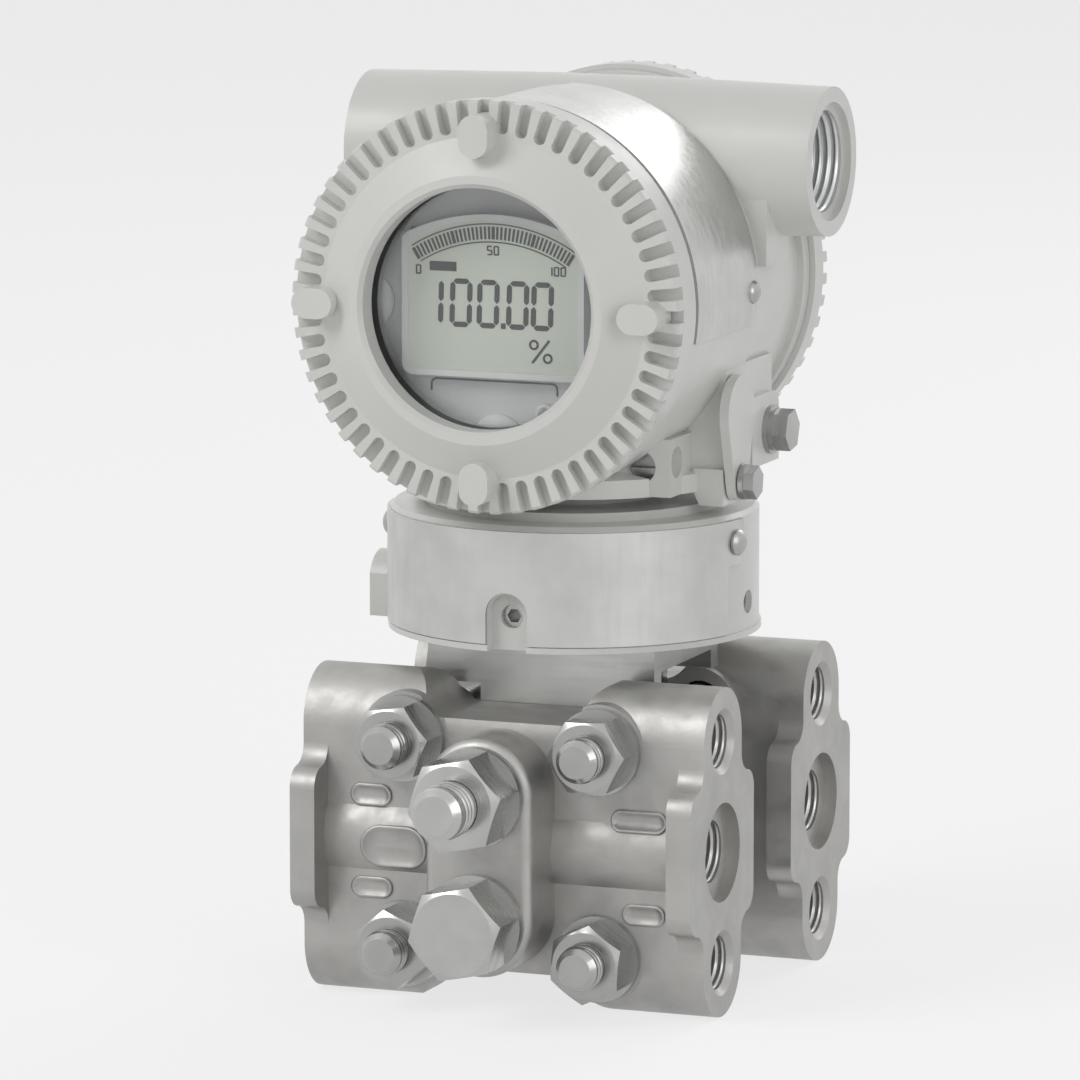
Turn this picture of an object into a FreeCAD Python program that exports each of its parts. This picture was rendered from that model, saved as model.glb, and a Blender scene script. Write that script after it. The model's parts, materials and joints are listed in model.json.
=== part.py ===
# Differential pressure transmitter: two process flanges clamped on a pressure capsule,
# a sensor drum on the capsule's neck, and a swivelling electronics housing with a display.
# Frame: X to the right along the flanges, -Y to the front, Z up. The origin is on the neck's
# axis at the height of the flanges' flat feet. Lengths are in millimetres.
import FreeCAD
import Part
import Sketcher
import math
import os

doc = FreeCAD.newDocument("transmitter")
sheet = doc.addObject("Spreadsheet::Sheet", "Sizes")
sheetRow = [0]


class Size:
    """A number together with its formula over the sheet's cells."""

    def __init__(self, formula, value):
        self.formula = formula
        self.value = value

    def join(self, sign, other, value):
        right = other.formula if isinstance(other, Size) else repr(float(other))
        return Size("(" + self.formula + " " + sign + " " + right + ")", value)

    def __add__(self, other):
        return self.join("+", other, self.value + plain(other))

    def __sub__(self, other):
        return self.join("-", other, self.value - plain(other))

    def __mul__(self, other):
        return self.join("*", other, self.value * plain(other))

    def __truediv__(self, other):
        return self.join("/", other, self.value / plain(other))

    def __neg__(self):
        return Size("(-1 * " + self.formula + ")", -self.value)

    def __radd__(self, other):
        return number(other) + self

    def __rsub__(self, other):
        return number(other) - self

    def __rmul__(self, other):
        return self * other


def plain(size):
    return size.value if isinstance(size, Size) else float(size)


def number(value):
    return value if isinstance(value, Size) else Size(repr(float(value)), float(value))


def cell(alias, value):
    """Writes one driving size into the sheet and returns it."""
    sheetRow[0] += 1
    row = str(sheetRow[0])
    sheet.set("A" + row, alias)
    sheet.set("B" + row, str(value))
    sheet.setAlias("B" + row, alias)
    return Size("Sizes." + alias, float(value))


def root(size):
    return Size("sqrt(" + number(size).formula + ")", math.sqrt(plain(size)))


def sine(angle):
    return Size("sin(" + number(angle).formula + " * 1 deg)", math.sin(math.radians(plain(angle))))


def cosine(angle):
    return Size("cos(" + number(angle).formula + " * 1 deg)", math.cos(math.radians(plain(angle))))


# ---- driving sizes ----------------------------------------------------------------------

# process flanges
holeSpacing = cell("hole_spacing", 41.3)          # mounting bolts of the process connection
portSpacing = cell("port_spacing", 54.0)          # between the two flanges' middle planes
wingRadius = cell("wing_radius", 10.0)            # round about each mounting hole's axis
flangeLength = cell("flange_length", 79.0)
lobeHalfWidth = cell("lobe_half_width", 16.7)
lobeDepth = cell("lobe_depth", 4.9)
lobeFlat = cell("lobe_flat", 9.5)
lobeNeck = cell("lobe_neck", 17.0)
lobeEdge = cell("lobe_edge", 0.6)
saddleDrop = cell("saddle_drop", 7.3)
saddleHalf = cell("saddle_half", 11.2)
shoulderHalf = cell("shoulder_half", 20.6)
bandHalf = cell("band_half", 6.0)
bandRise = cell("band_rise", 2.0)
mountHoleRadius = cell("mount_hole_radius", 5.0)
mountHoleDepth = cell("mount_hole_depth", 14.0)
mountMouth = cell("mount_mouth", 1.1)
portSeatRadius = cell("port_seat_radius", 9.2)
portSeatDepth = cell("port_seat_depth", 2.4)
portBoreRadius = cell("port_bore_radius", 5.8)
portBoreDepth = cell("port_bore_depth", 15.0)
passageRadius = cell("passage_radius", 2.5)
chamberRadius = cell("chamber_radius", 16.0)
chamberDepth = cell("chamber_depth", 1.6)
padHalf = cell("pad_half", 10.4)
padRise = cell("pad_rise", 12.5)
padEdge = cell("pad_edge", 1.8)
plugOffset = cell("plug_offset", 11.8)
plugBoreRadius = cell("plug_bore_radius", 5.8)
plugBoreDepth = cell("plug_bore_depth", 13.0)
studBossRadius = cell("stud_boss_radius", 6.8)
studBossRise = cell("stud_boss_rise", 1.2)

# studs that clamp the flanges
studPitch = cell("stud_pitch", 38.5)
studRadius = cell("stud_radius", 4.0)
studClearance = cell("stud_clearance", 0.4)
studTip = cell("stud_tip", 4.8)
studTipChamfer = cell("stud_tip_chamfer", 1.0)
washerRadius = cell("washer_radius", 8.0)
washerThick = cell("washer_thick", 1.6)
fitGap = cell("fit_gap", 0.05)                    # round a screw in its own thread
holeGap = cell("hole_gap", 0.2)                   # round a screw in a plain hole
nutFlats = cell("nut_flats", 13.0)
nutHeight = cell("nut_height", 6.5)

# vent and drain plugs
plugFlats = cell("plug_flats", 16.0)
plugHexHeight = cell("plug_hex_height", 10.0)
plugCollarRadius = cell("plug_collar_radius", 9.2)
plugCollarHeight = cell("plug_collar_height", 2.0)
ventRadius = cell("vent_radius", 5.0)
ventReach = cell("vent_reach", 8.8)
ventTaper = cell("vent_taper", 1.3)
needleRadius = cell("needle_radius", 2.0)

# capsule and neck
capsuleRadius = cell("capsule_radius", 20.0)
pillarHalf = cell("pillar_half", 12.2)
neckHalfX = cell("neck_half_x", 22.3)
neckHalfY = cell("neck_half_y", 16.6)
neckTaper = cell("neck_taper", 1.2)
neckHeight = cell("neck_height", 5.7)
neckCorner = cell("neck_corner", 2.5)
gasketThick = cell("gasket_thick", 1.0)
gasketWidth = cell("gasket_width", 2.6)
diaphragmThick = cell("diaphragm_thick", 0.4)

# sensor drum
drumBottom = cell("drum_bottom", 66.6)
drumRadius = cell("drum_radius", 34.5)
drumHeight = cell("drum_height", 23.4)
drumLip = cell("drum_lip", 1.1)
drumLipRise = cell("drum_lip_rise", 0.4)
drumEdge = cell("drum_edge", 0.8)
archHalf = cell("arch_half", 3.8)
archTop = cell("arch_top", 10.7)
archDepth = cell("arch_depth", 2.6)
lockHeight = cell("lock_height", 6.2)
lockRadius = cell("lock_radius", 2.2)
lockDepth = cell("lock_depth", 11.0)
lugReach = cell("lug_reach", 39.2)
lugHalf = cell("lug_half", 5.6)
lugHeight = cell("lug_height", 12.0)
discRadius = cell("disc_radius", 27.6)
discRise = cell("disc_rise", 1.6)
spigotRadius = cell("spigot_radius", 16.6)
spigotRise = cell("spigot_rise", 6.0)
stopInner = cell("stop_inner", 24.6)
stopOuter = cell("stop_outer", 27.4)
stopHalf = cell("stop_half", 1.6)
stopRise = cell("stop_rise", 1.2)
wrapThick = cell("wrap_thick", 0.5)
wrapGap = cell("wrap_gap", 0.05)
wrapEnd = cell("wrap_end", 84.0)
wrapMargin = cell("wrap_margin", 1.0)

# electronics housing
axisHeight = cell("axis_height", 131.5)
barrelRadius = cell("barrel_radius", 36.3)
rearRadius = cell("rear_radius", 35.4)
barrelStep = cell("barrel_step", 0.8)             # where the wide front part ends
collarRadius = cell("collar_radius", 37.3)
frontFace = cell("front_face", 40.0)
frontCollar = cell("front_collar", 4.0)
rearFace = cell("rear_face", 27.4)
rearCollar = cell("rear_collar", 3.2)
threadRadius = cell("thread_radius", 33.4)
threadDepth = cell("thread_depth", 9.0)
chamberWall = cell("chamber_wall", 6.5)
midWall = cell("mid_wall", 4.0)
conduitY = cell("conduit_y", 12.6)
conduitRise = cell("conduit_rise", 22.5)
conduitHalf = cell("conduit_half", 46.0)
conduitRadius = cell("conduit_radius", 13.9)
conduitSwell = cell("conduit_swell", 0.7)
conduitBore = cell("conduit_bore", 9.5)
conduitThread = cell("conduit_thread", 17.0)
conduitMouth = cell("conduit_mouth", 1.5)
racewayRadius = cell("raceway_radius", 8.5)
baseRadius = cell("base_radius", 30.0)
baseColumn = cell("base_column", 26.0)
baseGap = cell("base_gap", 2.6)
baseRim = cell("base_rim", 3.4)
swivelGap = cell("swivel_gap", 0.06)

# covers
coverRadius = cell("cover_radius", 37.7)
coverSide = cell("cover_side", 5.8)
coverGap = cell("cover_gap", 0.2)
coverCrown = cell("cover_crown", 4.2)
coverFlat = cell("cover_flat", 31.2)
coverSpigot = cell("cover_spigot", 8.0)
threadClearance = cell("thread_clearance", 0.1)
windowOuter = cell("window_outer", 24.5)
windowRadius = cell("window_radius", 22.2)
windowChamfer = cell("window_chamfer", 2.4)
windowLip = cell("window_lip", 5.0)
glassRadius = cell("glass_radius", 24.8)
glassThick = cell("glass_thick", 4.5)
grooveWidth = cell("groove_width", 2.3)
grooveInner = cell("groove_inner", 31.9)
grooveDepth = cell("groove_depth", 2.6)
lugCentre = cell("lug_centre", 31.6)
lugLong = cell("lug_long", 7.8)
lugWide = cell("lug_wide", 5.6)
lugRise = cell("lug_rise", 5.2)

# small parts of the housing
seatRadius = cell("seat_radius", 8.6)             # flat seat of each washer on the wing
blockHalf = cell("block_half", 8.9)
blockX = cell("block_x", 17.6)
blockFront = cell("block_front", 20.0)
blockLow = cell("block_low", 94.6)
blockHigh = cell("block_high", 105.3)
adjustX = cell("adjust_x", 20.6)
adjustZ = cell("adjust_z", 100.0)
adjustRadius = cell("adjust_radius", 3.0)
adjustDepth = cell("adjust_depth", 8.0)
sideHoleY = cell("side_hole_y", 16.6)
sideHoleRadius = cell("side_hole_radius", 2.9)
bossFace = cell("boss_face", 34.5)
bossFront = cell("boss_front", 2.0)
bossBack = cell("boss_back", 16.5)
bossLow = cell("boss_low", 97.4)
bossHigh = cell("boss_high", 110.6)
earthY = cell("earth_y", 11.6)
earthZ = cell("earth_z", 103.6)
earthRadius = cell("earth_radius", 2.1)
earthFlats = cell("earth_flats", 7.0)
earthHead = cell("earth_head", 2.8)
earthLength = cell("earth_length", 9.0)
earthWasher = cell("earth_washer", 4.6)
earthWasherThick = cell("earth_washer_thick", 0.9)
pivotY = cell("pivot_y", -6.2)
pivotZ = cell("pivot_z", 96.2)
pivotRadius = cell("pivot_radius", 1.6)
pivotHead = cell("pivot_head", 3.3)
pivotHeadHeight = cell("pivot_head_height", 2.0)
pivotFace = cell("pivot_face", 33.2)
webFront = cell("web_front", 9.0)
webLow = cell("web_low", 97.8)
footLow = cell("foot_low", 92.0)
footInner = cell("foot_inner", 28.6)
footFront = cell("foot_front", 10.4)
footBack = cell("foot_back", 2.0)
plateThick = cell("plate_thick", 1.8)
plateGap = cell("plate_gap", 0.35)
plateRadius = cell("plate_radius", 7.0)
plateNarrow = cell("plate_narrow", 3.5)
plateLong = cell("plate_long", 12.8)

# housing underside
housingUnder = cell("housing_under", 94.5)
skirtInner = cell("skirt_inner", 28.4)
skirtDrop = cell("skirt_drop", 3.0)
skirtSweep = cell("skirt_sweep", 89.0)
tabInner = cell("tab_inner", 25.2)
tabHalf = cell("tab_half", 1.5)
tabDrop = cell("tab_drop", 2.4)

# display and electronics
bezelRadius = cell("bezel_radius", 27.6)
bezelDepth = cell("bezel_depth", 6.0)
bezelFront = cell("bezel_front", 1.9)             # behind the retaining ring
cellHalfX = cell("cell_half_x", 17.2)
cellLow = cell("cell_low", 12.8)
cellHigh = cell("cell_high", 13.4)
cellThick = cell("cell_thick", 2.0)
cellInset = cell("cell_inset", 0.9)
boardThick = cell("board_thick", 1.6)
boardRadius = cell("board_radius", 26.5)
boardGap = cell("board_gap", 6.0)
screwRadius = cell("screw_radius", 1.5)
screwHead = cell("screw_head", 2.6)
terminalHalf = cell("terminal_half", 25.5)
terminalDepth = cell("terminal_depth", 8.0)

# rear cover
rearCoverSide = cell("rear_cover_side", 7.0)
rearCrown = cell("rear_crown", 3.2)

portHeight = holeSpacing / 2 + wingRadius
spotX = studPitch / 2

# ---- helpers ----------------------------------------------------------------------------

facings = {
    "up": FreeCAD.Rotation(),
    "front": FreeCAD.Rotation(FreeCAD.Vector(1, 0, 0), 90),
    "rear": FreeCAD.Rotation(FreeCAD.Vector(0, 0, 1), 180) * FreeCAD.Rotation(FreeCAD.Vector(1, 0, 0), 90),
    "right": FreeCAD.Rotation(FreeCAD.Vector(1, 1, 1), 120),
    "left": FreeCAD.Rotation(FreeCAD.Vector(0, 0, 1), 180) * FreeCAD.Rotation(FreeCAD.Vector(1, 1, 1), 120),
}
exported = []


def place(thing, x, y, z, facing, turned=0.0):
    """Puts a body's own frame at a point, its z axis along the facing. A facing that is a
    number points level, at that many degrees from the front towards the right."""
    swing = 0.0 if isinstance(facing, str) else facing
    base = facings[facing] if isinstance(facing, str) else facings["front"]
    rotation = FreeCAD.Rotation(FreeCAD.Vector(0, 0, 1), swing) * base
    rotation = rotation * FreeCAD.Rotation(FreeCAD.Vector(0, 0, 1), turned)
    thing.Placement = FreeCAD.Placement(FreeCAD.Vector(plain(x), plain(y), plain(z)), rotation)
    for axis, size in (("x", x), ("y", y), ("z", z)):
        thing.setExpression("Placement.Base." + axis, number(size).formula)


def newBody(label, keep=True):
    body = doc.addObject("PartDesign::Body", label)
    body.Label = label
    if keep:
        exported.append(body)
    return body


def newSketch(body, role, name, offset=0.0):
    """A sketch on one of the body's own planes. XY faces +z, XZ faces -y, YZ faces +x."""
    drawing = body.newObject("Sketcher::SketchObject", name)
    support = next(part for part in body.Origin.OriginFeatures if part.Role == role + "_Plane")
    drawing.AttachmentSupport = [(support, "")]
    drawing.MapMode = "FlatFace"
    drawing.AttachmentOffset = FreeCAD.Placement(FreeCAD.Vector(0, 0, plain(offset)), FreeCAD.Rotation())
    drawing.setExpression("AttachmentOffset.Base.z", number(offset).formula)
    return drawing


def fix(drawing, kind, place1, size):
    index = drawing.addConstraint(Sketcher.Constraint(kind, *place1, plain(size)))
    drawing.setExpression("Constraints[" + str(index) + "]", number(size).formula)


def loop(drawing, points):
    """Closes a chain of points: (x, y) comes by a line, (x, y, r) by an arc to the left of
    the way (to the right where r is negative)."""
    count = len(points)
    ends = []
    for index in range(count):
        first = points[index - 1]
        last = points[index]
        start = FreeCAD.Vector(plain(first[0]), plain(first[1]), 0)
        stop = FreeCAD.Vector(plain(last[0]), plain(last[1]), 0)
        if len(last) == 2:
            edge = drawing.addGeometry(Part.LineSegment(start, stop), False)
            ends.append((edge, 1, 2))
            continue
        radius = abs(plain(last[2]))
        left = plain(last[2]) > 0
        chord = stop - start
        side = FreeCAD.Vector(-chord.y, chord.x, 0).normalize()
        reach = math.sqrt(max(radius ** 2 - (chord.Length / 2) ** 2, 0.0))
        centre = (start + stop) * 0.5 + side * (reach if left else -reach)
        circle = Part.Circle(centre, FreeCAD.Vector(0, 0, 1), radius)
        from1 = math.atan2(start.y - centre.y, start.x - centre.x)
        from2 = math.atan2(stop.y - centre.y, stop.x - centre.x)
        if left:
            edge = drawing.addGeometry(Part.ArcOfCircle(circle, from1, from2), False)
            ends.append((edge, 1, 2))
        else:
            edge = drawing.addGeometry(Part.ArcOfCircle(circle, from2, from1), False)
            ends.append((edge, 2, 1))
        size = last[2] if left else -number(last[2])
        fix(drawing, "Radius", (edge,), size)
    for index in range(count):
        before = ends[index]
        after = ends[(index + 1) % count]
        drawing.addConstraint(Sketcher.Constraint("Coincident", before[0], before[2], after[0], after[1]))
        fix(drawing, "DistanceX", (before[0], before[2]), points[index][0])
        fix(drawing, "DistanceY", (before[0], before[2]), points[index][1])


def ring(drawing, x, y, radius):
    spot = FreeCAD.Vector(plain(x), plain(y), 0)
    edge = drawing.addGeometry(Part.Circle(spot, FreeCAD.Vector(0, 0, 1), plain(radius)), False)
    fix(drawing, "DistanceX", (edge, 3), x)
    fix(drawing, "DistanceY", (edge, 3), y)
    fix(drawing, "Radius", (edge,), radius)


def outline(body, role, name, points, offset=0.0):
    drawing = newSketch(body, role, name, offset)
    loop(drawing, points)
    return drawing


def rings(body, role, name, spots, radius, offset=0.0):
    drawing = newSketch(body, role, name, offset)
    for x, y in spots:
        ring(drawing, x, y, radius)
    return drawing


def extrude(body, kind, drawing, length, way):
    """Way 1 goes along the sketch's facing, -1 against it and 0 half of the length each way."""
    feature = body.newObject("PartDesign::" + kind, drawing.Name + kind)
    feature.Profile = drawing
    feature.Length = plain(length)
    feature.setExpression("Length", number(length).formula)
    if way == 0:
        feature.SideType = "Symmetric"
    forward = kind == "Pad"
    feature.Reversed = (way < 0) if forward else (way > 0)
    drawing.Visibility = False
    return feature


def pad(body, drawing, length, way=1):
    return extrude(body, "Pad", drawing, length, way)


def pocket(body, drawing, length, way=-1):
    return extrude(body, "Pocket", drawing, length, way)


def turn(body, kind, drawing, axis="V_Axis", angle=360.0, both=False):
    feature = body.newObject("PartDesign::" + kind, drawing.Name + kind)
    feature.Profile = drawing
    feature.ReferenceAxis = (drawing, [axis])
    feature.Angle = plain(angle)
    if isinstance(angle, Size):
        feature.setExpression("Angle", angle.formula)
    feature.Midplane = both
    return feature


def revolve(body, drawing, axis="V_Axis", angle=360.0, both=False):
    return turn(body, "Revolution", drawing, axis, angle, both)


def groove(body, drawing, axis="V_Axis", angle=360.0, both=False):
    return turn(body, "Groove", drawing, axis, angle, both)


def around(body, feature, count):
    pattern = body.newObject("PartDesign::PolarPattern", feature.Name + "Around")
    pattern.Originals = [feature]
    axis = next(part for part in body.Origin.OriginFeatures if part.Role == "Z_Axis")
    pattern.Axis = (axis, [""])
    pattern.Angle = 360
    pattern.Occurrences = count
    body.Tip = pattern
    return pattern


def edges(feature, wanted):
    names = []
    for index, edge in enumerate(feature.Shape.Edges):
        if wanted(edge):
            names.append("Edge" + str(index + 1))
    return names


def dress(body, kind, name, size, wanted):
    """Rounds or bevels the edges of the body's last feature that pass the test."""
    doc.recompute()
    base = body.Tip
    names = edges(base, wanted)
    if not names:
        raise ValueError("no edge for " + name)
    feature = body.newObject("PartDesign::" + kind, name)
    feature.Base = (base, names)
    field = "Radius" if kind == "Fillet" else "Size"
    setattr(feature, field, plain(size))
    feature.setExpression(field, number(size).formula)
    return feature


def fillet(body, name, size, wanted):
    return dress(body, "Fillet", name, size, wanted)


def bevel(body, name, size, wanted):
    return dress(body, "Chamfer", name, size, wanted)


def circleAt(radius, axis, height):
    """Test for a whole circle of this radius in the plane at this height along an axis."""
    def wanted(edge):
        if not isinstance(edge.Curve, Part.Circle):
            return False
        centre = {"x": edge.Curve.Center.x, "y": edge.Curve.Center.y, "z": edge.Curve.Center.z}[axis]
        return abs(edge.Curve.Radius - plain(radius)) < 0.01 and abs(centre - plain(height)) < 0.01
    return wanted


def hexagon(flats, turned=0.0):
    """Six corners of a hexagon of this width across flats."""
    reach = number(flats) / (2 * math.cos(math.pi / 6))
    corners = []
    for index in range(6):
        angle = math.radians(60 * index + turned)
        corners.append((reach * math.cos(angle), reach * math.sin(angle)))
    return corners


def copies(label, body, spots):
    """Several placed copies of one body in one node. A spot is (x, y, z, facing, turn)."""
    links = []
    for index, spot in enumerate(spots):
        link = doc.addObject("App::Link", label + "_" + str(index + 1))
        link.LinkedObject = body
        place(link, *spot)
        links.append(link)
    group = doc.addObject("Part::Compound", label)
    group.Label = label
    group.Links = links
    exported.append(group)
    return group


def stadium(halfX, halfY, upright=True):
    """A slot outline about the origin; its round ends lie along the longer way."""
    flat = (halfY - halfX) if upright else (halfX - halfY)
    r = halfX if upright else halfY
    if upright:
        return [(r, -flat, r), (r, flat), (0.0, flat + r, r), (-r, flat, r), (-r, -flat), (0.0, -flat - r, r)]
    return [(-flat, -r, r), (flat, -r), (flat + r, 0.0, r), (flat, r, r), (-flat, r), (-flat - r, 0.0, r)]


def shifted(points, x, y):
    return [(number(point[0]) + x, number(point[1]) + y) + tuple(point[2:]) for point in points]


# ---- process flanges --------------------------------------------------------------------
# Each is a cast bar with a round-edged wing, a lobe round the port at each end, a saddle in
# the middle and an upright pad for the two plugs. Its own frame has z outwards, y upwards.

flange = newBody("front_flange")
halfHole = holeSpacing / 2
halfLength = flangeLength / 2
bulge = (bandHalf * bandHalf + bandRise * bandRise) / (bandRise * 2)
r = wingRadius
wing = outline(flange, "YZ", "wing", [
    (-halfHole, -r, r), (halfHole, -r), (halfHole + r, 0.0, r), (halfHole, r, r), (bandHalf, r),
    (-bandHalf, r, bulge), (-halfHole, r), (-halfHole - r, 0.0, r)])
pad(flange, wing, flangeLength, 0)

lobeStep = (lobeNeck - lobeFlat) / 2
lobeRise = (lobeHalfWidth - wingRadius) / 2
lobeRound = (lobeStep * lobeStep + lobeRise * lobeRise) / (lobeRise * 2)
lobeMid = lobeFlat + lobeStep
lobeLevel = wingRadius + lobeRise
for side in (1, -1):
    lobe = outline(flange, "YZ", "lobe" + ("Right" if side > 0 else "Left"), [
        (-lobeNeck, -r), (-lobeMid, -lobeLevel, -lobeRound), (-lobeFlat, -lobeHalfWidth, lobeRound),
        (lobeFlat, -lobeHalfWidth), (lobeMid, -lobeLevel, lobeRound), (lobeNeck, -r, -lobeRound),
        (lobeNeck, r), (lobeMid, lobeLevel, -lobeRound), (lobeFlat, lobeHalfWidth, lobeRound),
        (-lobeFlat, lobeHalfWidth), (-lobeMid, lobeLevel, lobeRound), (-lobeNeck, r, -lobeRound)],
        halfLength * side)
    pad(flange, lobe, lobeDepth, -side)

padFront = wingRadius + padRise
plate = outline(flange, "XY", "centrePad", stadium(padHalf, padHalf + plugOffset))
pad(flange, plate, padFront, 1)
fillet(flange, "padRound", padEdge, lambda edge: all(
    abs(point.z - plain(padFront)) < 0.01 for point in edge.discretize(3)))

studSpots = [(spotX * a, spotX * b) for a in (1, -1) for b in (1, -1)]
pad(flange, rings(flange, "XY", "studBosses", studSpots, studBossRadius), wingRadius + studBossRise, -1)
pad(flange, rings(flange, "XY", "washerSeats", studSpots, seatRadius), wingRadius, 1)

# saddle notches at top and bottom, each an S curve on both sides
stepX = (shoulderHalf - saddleHalf) / 2
stepY = saddleDrop / 2
shoulderRound = (stepX * stepX + stepY * stepY) / (stepY * 2)
topLevel = halfHole + wingRadius
for side in (1, -1):
    low = (topLevel - saddleDrop) * side
    mid = (topLevel - stepY) * side
    high = topLevel * side
    beyond = (topLevel + 4.0) * side
    middle = shoulderHalf - stepX
    notch = outline(flange, "XY", "saddle" + ("Top" if side > 0 else "Bottom"), [
        (saddleHalf, low), (middle, mid, shoulderRound * side), (shoulderHalf, high, shoulderRound * -side),
        (shoulderHalf, beyond), (-shoulderHalf, beyond), (-shoulderHalf, high),
        (-middle, mid, shoulderRound * -side), (-saddleHalf, low, shoulderRound * side)])
    pocket(flange, notch, portSpacing, 0)

for side in (1, -1):
    end = "Right" if side > 0 else "Left"
    face = halfLength * side
    holes = [(halfHole, 0.0), (-halfHole, 0.0)]
    pocket(flange, rings(flange, "YZ", "mountHoles" + end, holes, mountHoleRadius, face), mountHoleDepth, -side)
    pocket(flange, rings(flange, "YZ", "portSeat" + end, [(0.0, 0.0)], portSeatRadius, face), portSeatDepth, -side)
    pocket(flange, rings(flange, "YZ", "portBore" + end, [(0.0, 0.0)], portBoreRadius, face), portBoreDepth, -side)
pocket(flange, rings(flange, "YZ", "passage", [(0.0, 0.0)], passageRadius), flangeLength - portBoreDepth, 0)
pocket(flange, rings(flange, "XY", "chamber", [(0.0, 0.0)], chamberRadius, -r), chamberDepth, 1)
pocket(flange, rings(flange, "XY", "gasketSeat", [(0.0, 0.0)], chamberRadius + gasketWidth, -r), gasketThick, 1)
pocket(flange, rings(flange, "XY", "inletHole", [(0.0, 0.0)], passageRadius, -r), wingRadius, 1)
plugSpots = [(0.0, plugOffset), (0.0, -plugOffset)]
pocket(flange, rings(flange, "XY", "plugBores", plugSpots, plugBoreRadius, padFront), plugBoreDepth, -1)
pocket(flange, rings(flange, "XY", "plugHoles", plugSpots, passageRadius / 2, padFront), padFront + wingRadius, -1)
pocket(flange, rings(flange, "XY", "studHoles", studSpots, studRadius + studClearance), portSpacing, 0)
bevel(flange, "mountMouths", mountMouth, lambda edge: circleAt(mountHoleRadius, "x", halfLength)(edge)
      or circleAt(mountHoleRadius, "x", -halfLength)(edge))
place(flange, 0.0, -portSpacing / 2, portHeight, "front")
copies("rear_flange", flange, [(0.0, portSpacing / 2, portHeight, "rear", 0.0)])

wingFace = portSpacing / 2 + wingRadius           # outer face of each wing
padFace = wingFace + padRise
innerFace = portSpacing / 2 - wingRadius          # face on the capsule

# ---- clamping bolts, nuts and washers ---------------------------------------------------
stackHigh = washerThick + nutHeight
bolt = newBody("clamp_bolt", False)
boltLength = wingFace * 2 + washerThick * 2 + nutHeight + studTip
pad(bolt, rings(bolt, "XY", "shank", [(0.0, 0.0)], studRadius), boltLength)
bevel(bolt, "tip", studTipChamfer, circleAt(studRadius, "z", boltLength))
pad(bolt, outline(bolt, "XY", "boltHead", hexagon(nutFlats)), studRadius * 1.3, -1)
headCone = outline(bolt, "XZ", "headCone", [
    (nutFlats * 0.475, -studRadius * 1.3), (nutFlats * 0.475 + 2.6, -studRadius * 1.3 + 1.5),
    (nutFlats * 0.475 + 2.6, -studRadius * 1.3)])
groove(bolt, headCone)
boltSpots = []
for index, (x, z) in enumerate(studSpots):
    boltSpots.append((x, wingFace + washerThick, portHeight + z, "front", 14.0 + 23.0 * index))
copies("clamp_bolts", bolt, boltSpots)

nut = newBody("nut", False)
pad(nut, outline(nut, "XY", "nutHex", hexagon(nutFlats)), nutHeight)
nutCone = outline(nut, "XZ", "nutCone", [
    (nutFlats * 0.475, nutHeight), (nutFlats * 0.475 + 2.6, nutHeight - 1.5), (nutFlats * 0.475 + 2.6, nutHeight)])
groove(nut, nutCone)
pocket(nut, rings(nut, "XY", "nutBore", [(0.0, 0.0)], studRadius + fitGap, nutHeight), nutHeight + 1.0)
nutTurns = (2.0, 25.0, 8.0, 40.0)
nutSpots = []
for (x, z), turned in zip(studSpots, nutTurns):
    nutSpots.append((x, -wingFace - washerThick, portHeight + z, "front", turned))
copies("clamp_nuts", nut, nutSpots)

washer = newBody("washer", False)
washerSketch = rings(washer, "XY", "washerRing", [(0.0, 0.0)], washerRadius)
ring(washerSketch, 0.0, 0.0, studRadius + holeGap)
pad(washer, washerSketch, washerThick)
washerSpots = []
for x, z in studSpots:
    washerSpots.append((x, -wingFace, portHeight + z, "front", 0.0))
    washerSpots.append((x, wingFace, portHeight + z, "rear", 0.0))
copies("clamp_washers", washer, washerSpots)

# ---- plugs ------------------------------------------------------------------------------
# drain plug: hexagon with a bevelled front, a round collar and a threaded shank
def plugBody(label):
    body = newBody(label, False)
    pad(body, rings(body, "XY", label + "Collar", [(0.0, 0.0)], plugCollarRadius), plugCollarHeight)
    collarTop = plugCollarHeight
    hexTop = plugCollarHeight + plugHexHeight
    pad(body, outline(body, "XY", label + "Hex", hexagon(plugFlats, 12.0), collarTop), plugHexHeight)
    cone = outline(body, "XZ", label + "Cone", [
        (plugFlats * 0.475, hexTop), (plugFlats * 0.475 + 3.0, hexTop - 1.7), (plugFlats * 0.475 + 3.0, hexTop)])
    groove(body, cone)
    pad(body, rings(body, "XY", label + "Shank", [(0.0, 0.0)], plugBoreRadius - fitGap), plugBoreDepth - 1.0, -1)
    return body


drain = plugBody("drainPlug")
ventSeat = plugBody("ventPlug")
hexTop = plugCollarHeight + plugHexHeight
ventBoreDepth = plugHexHeight * 0.8
needleDepth = plugHexHeight * 1.3
pocket(ventSeat, rings(ventSeat, "XY", "ventBore", [(0.0, 0.0)], ventRadius, hexTop), ventBoreDepth)
pocket(ventSeat, rings(ventSeat, "XY", "needleBore", [(0.0, 0.0)], needleRadius, hexTop), needleDepth)
copies("drain_plugs", drain, [
    (0.0, -padFace, portHeight - plugOffset, "front", 0.0), (0.0, padFace, portHeight - plugOffset, "rear", 0.0)])
copies("vent_plugs", ventSeat, [
    (0.0, -padFace, portHeight + plugOffset, "front", 0.0), (0.0, padFace, portHeight + plugOffset, "rear", 0.0)])

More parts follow.
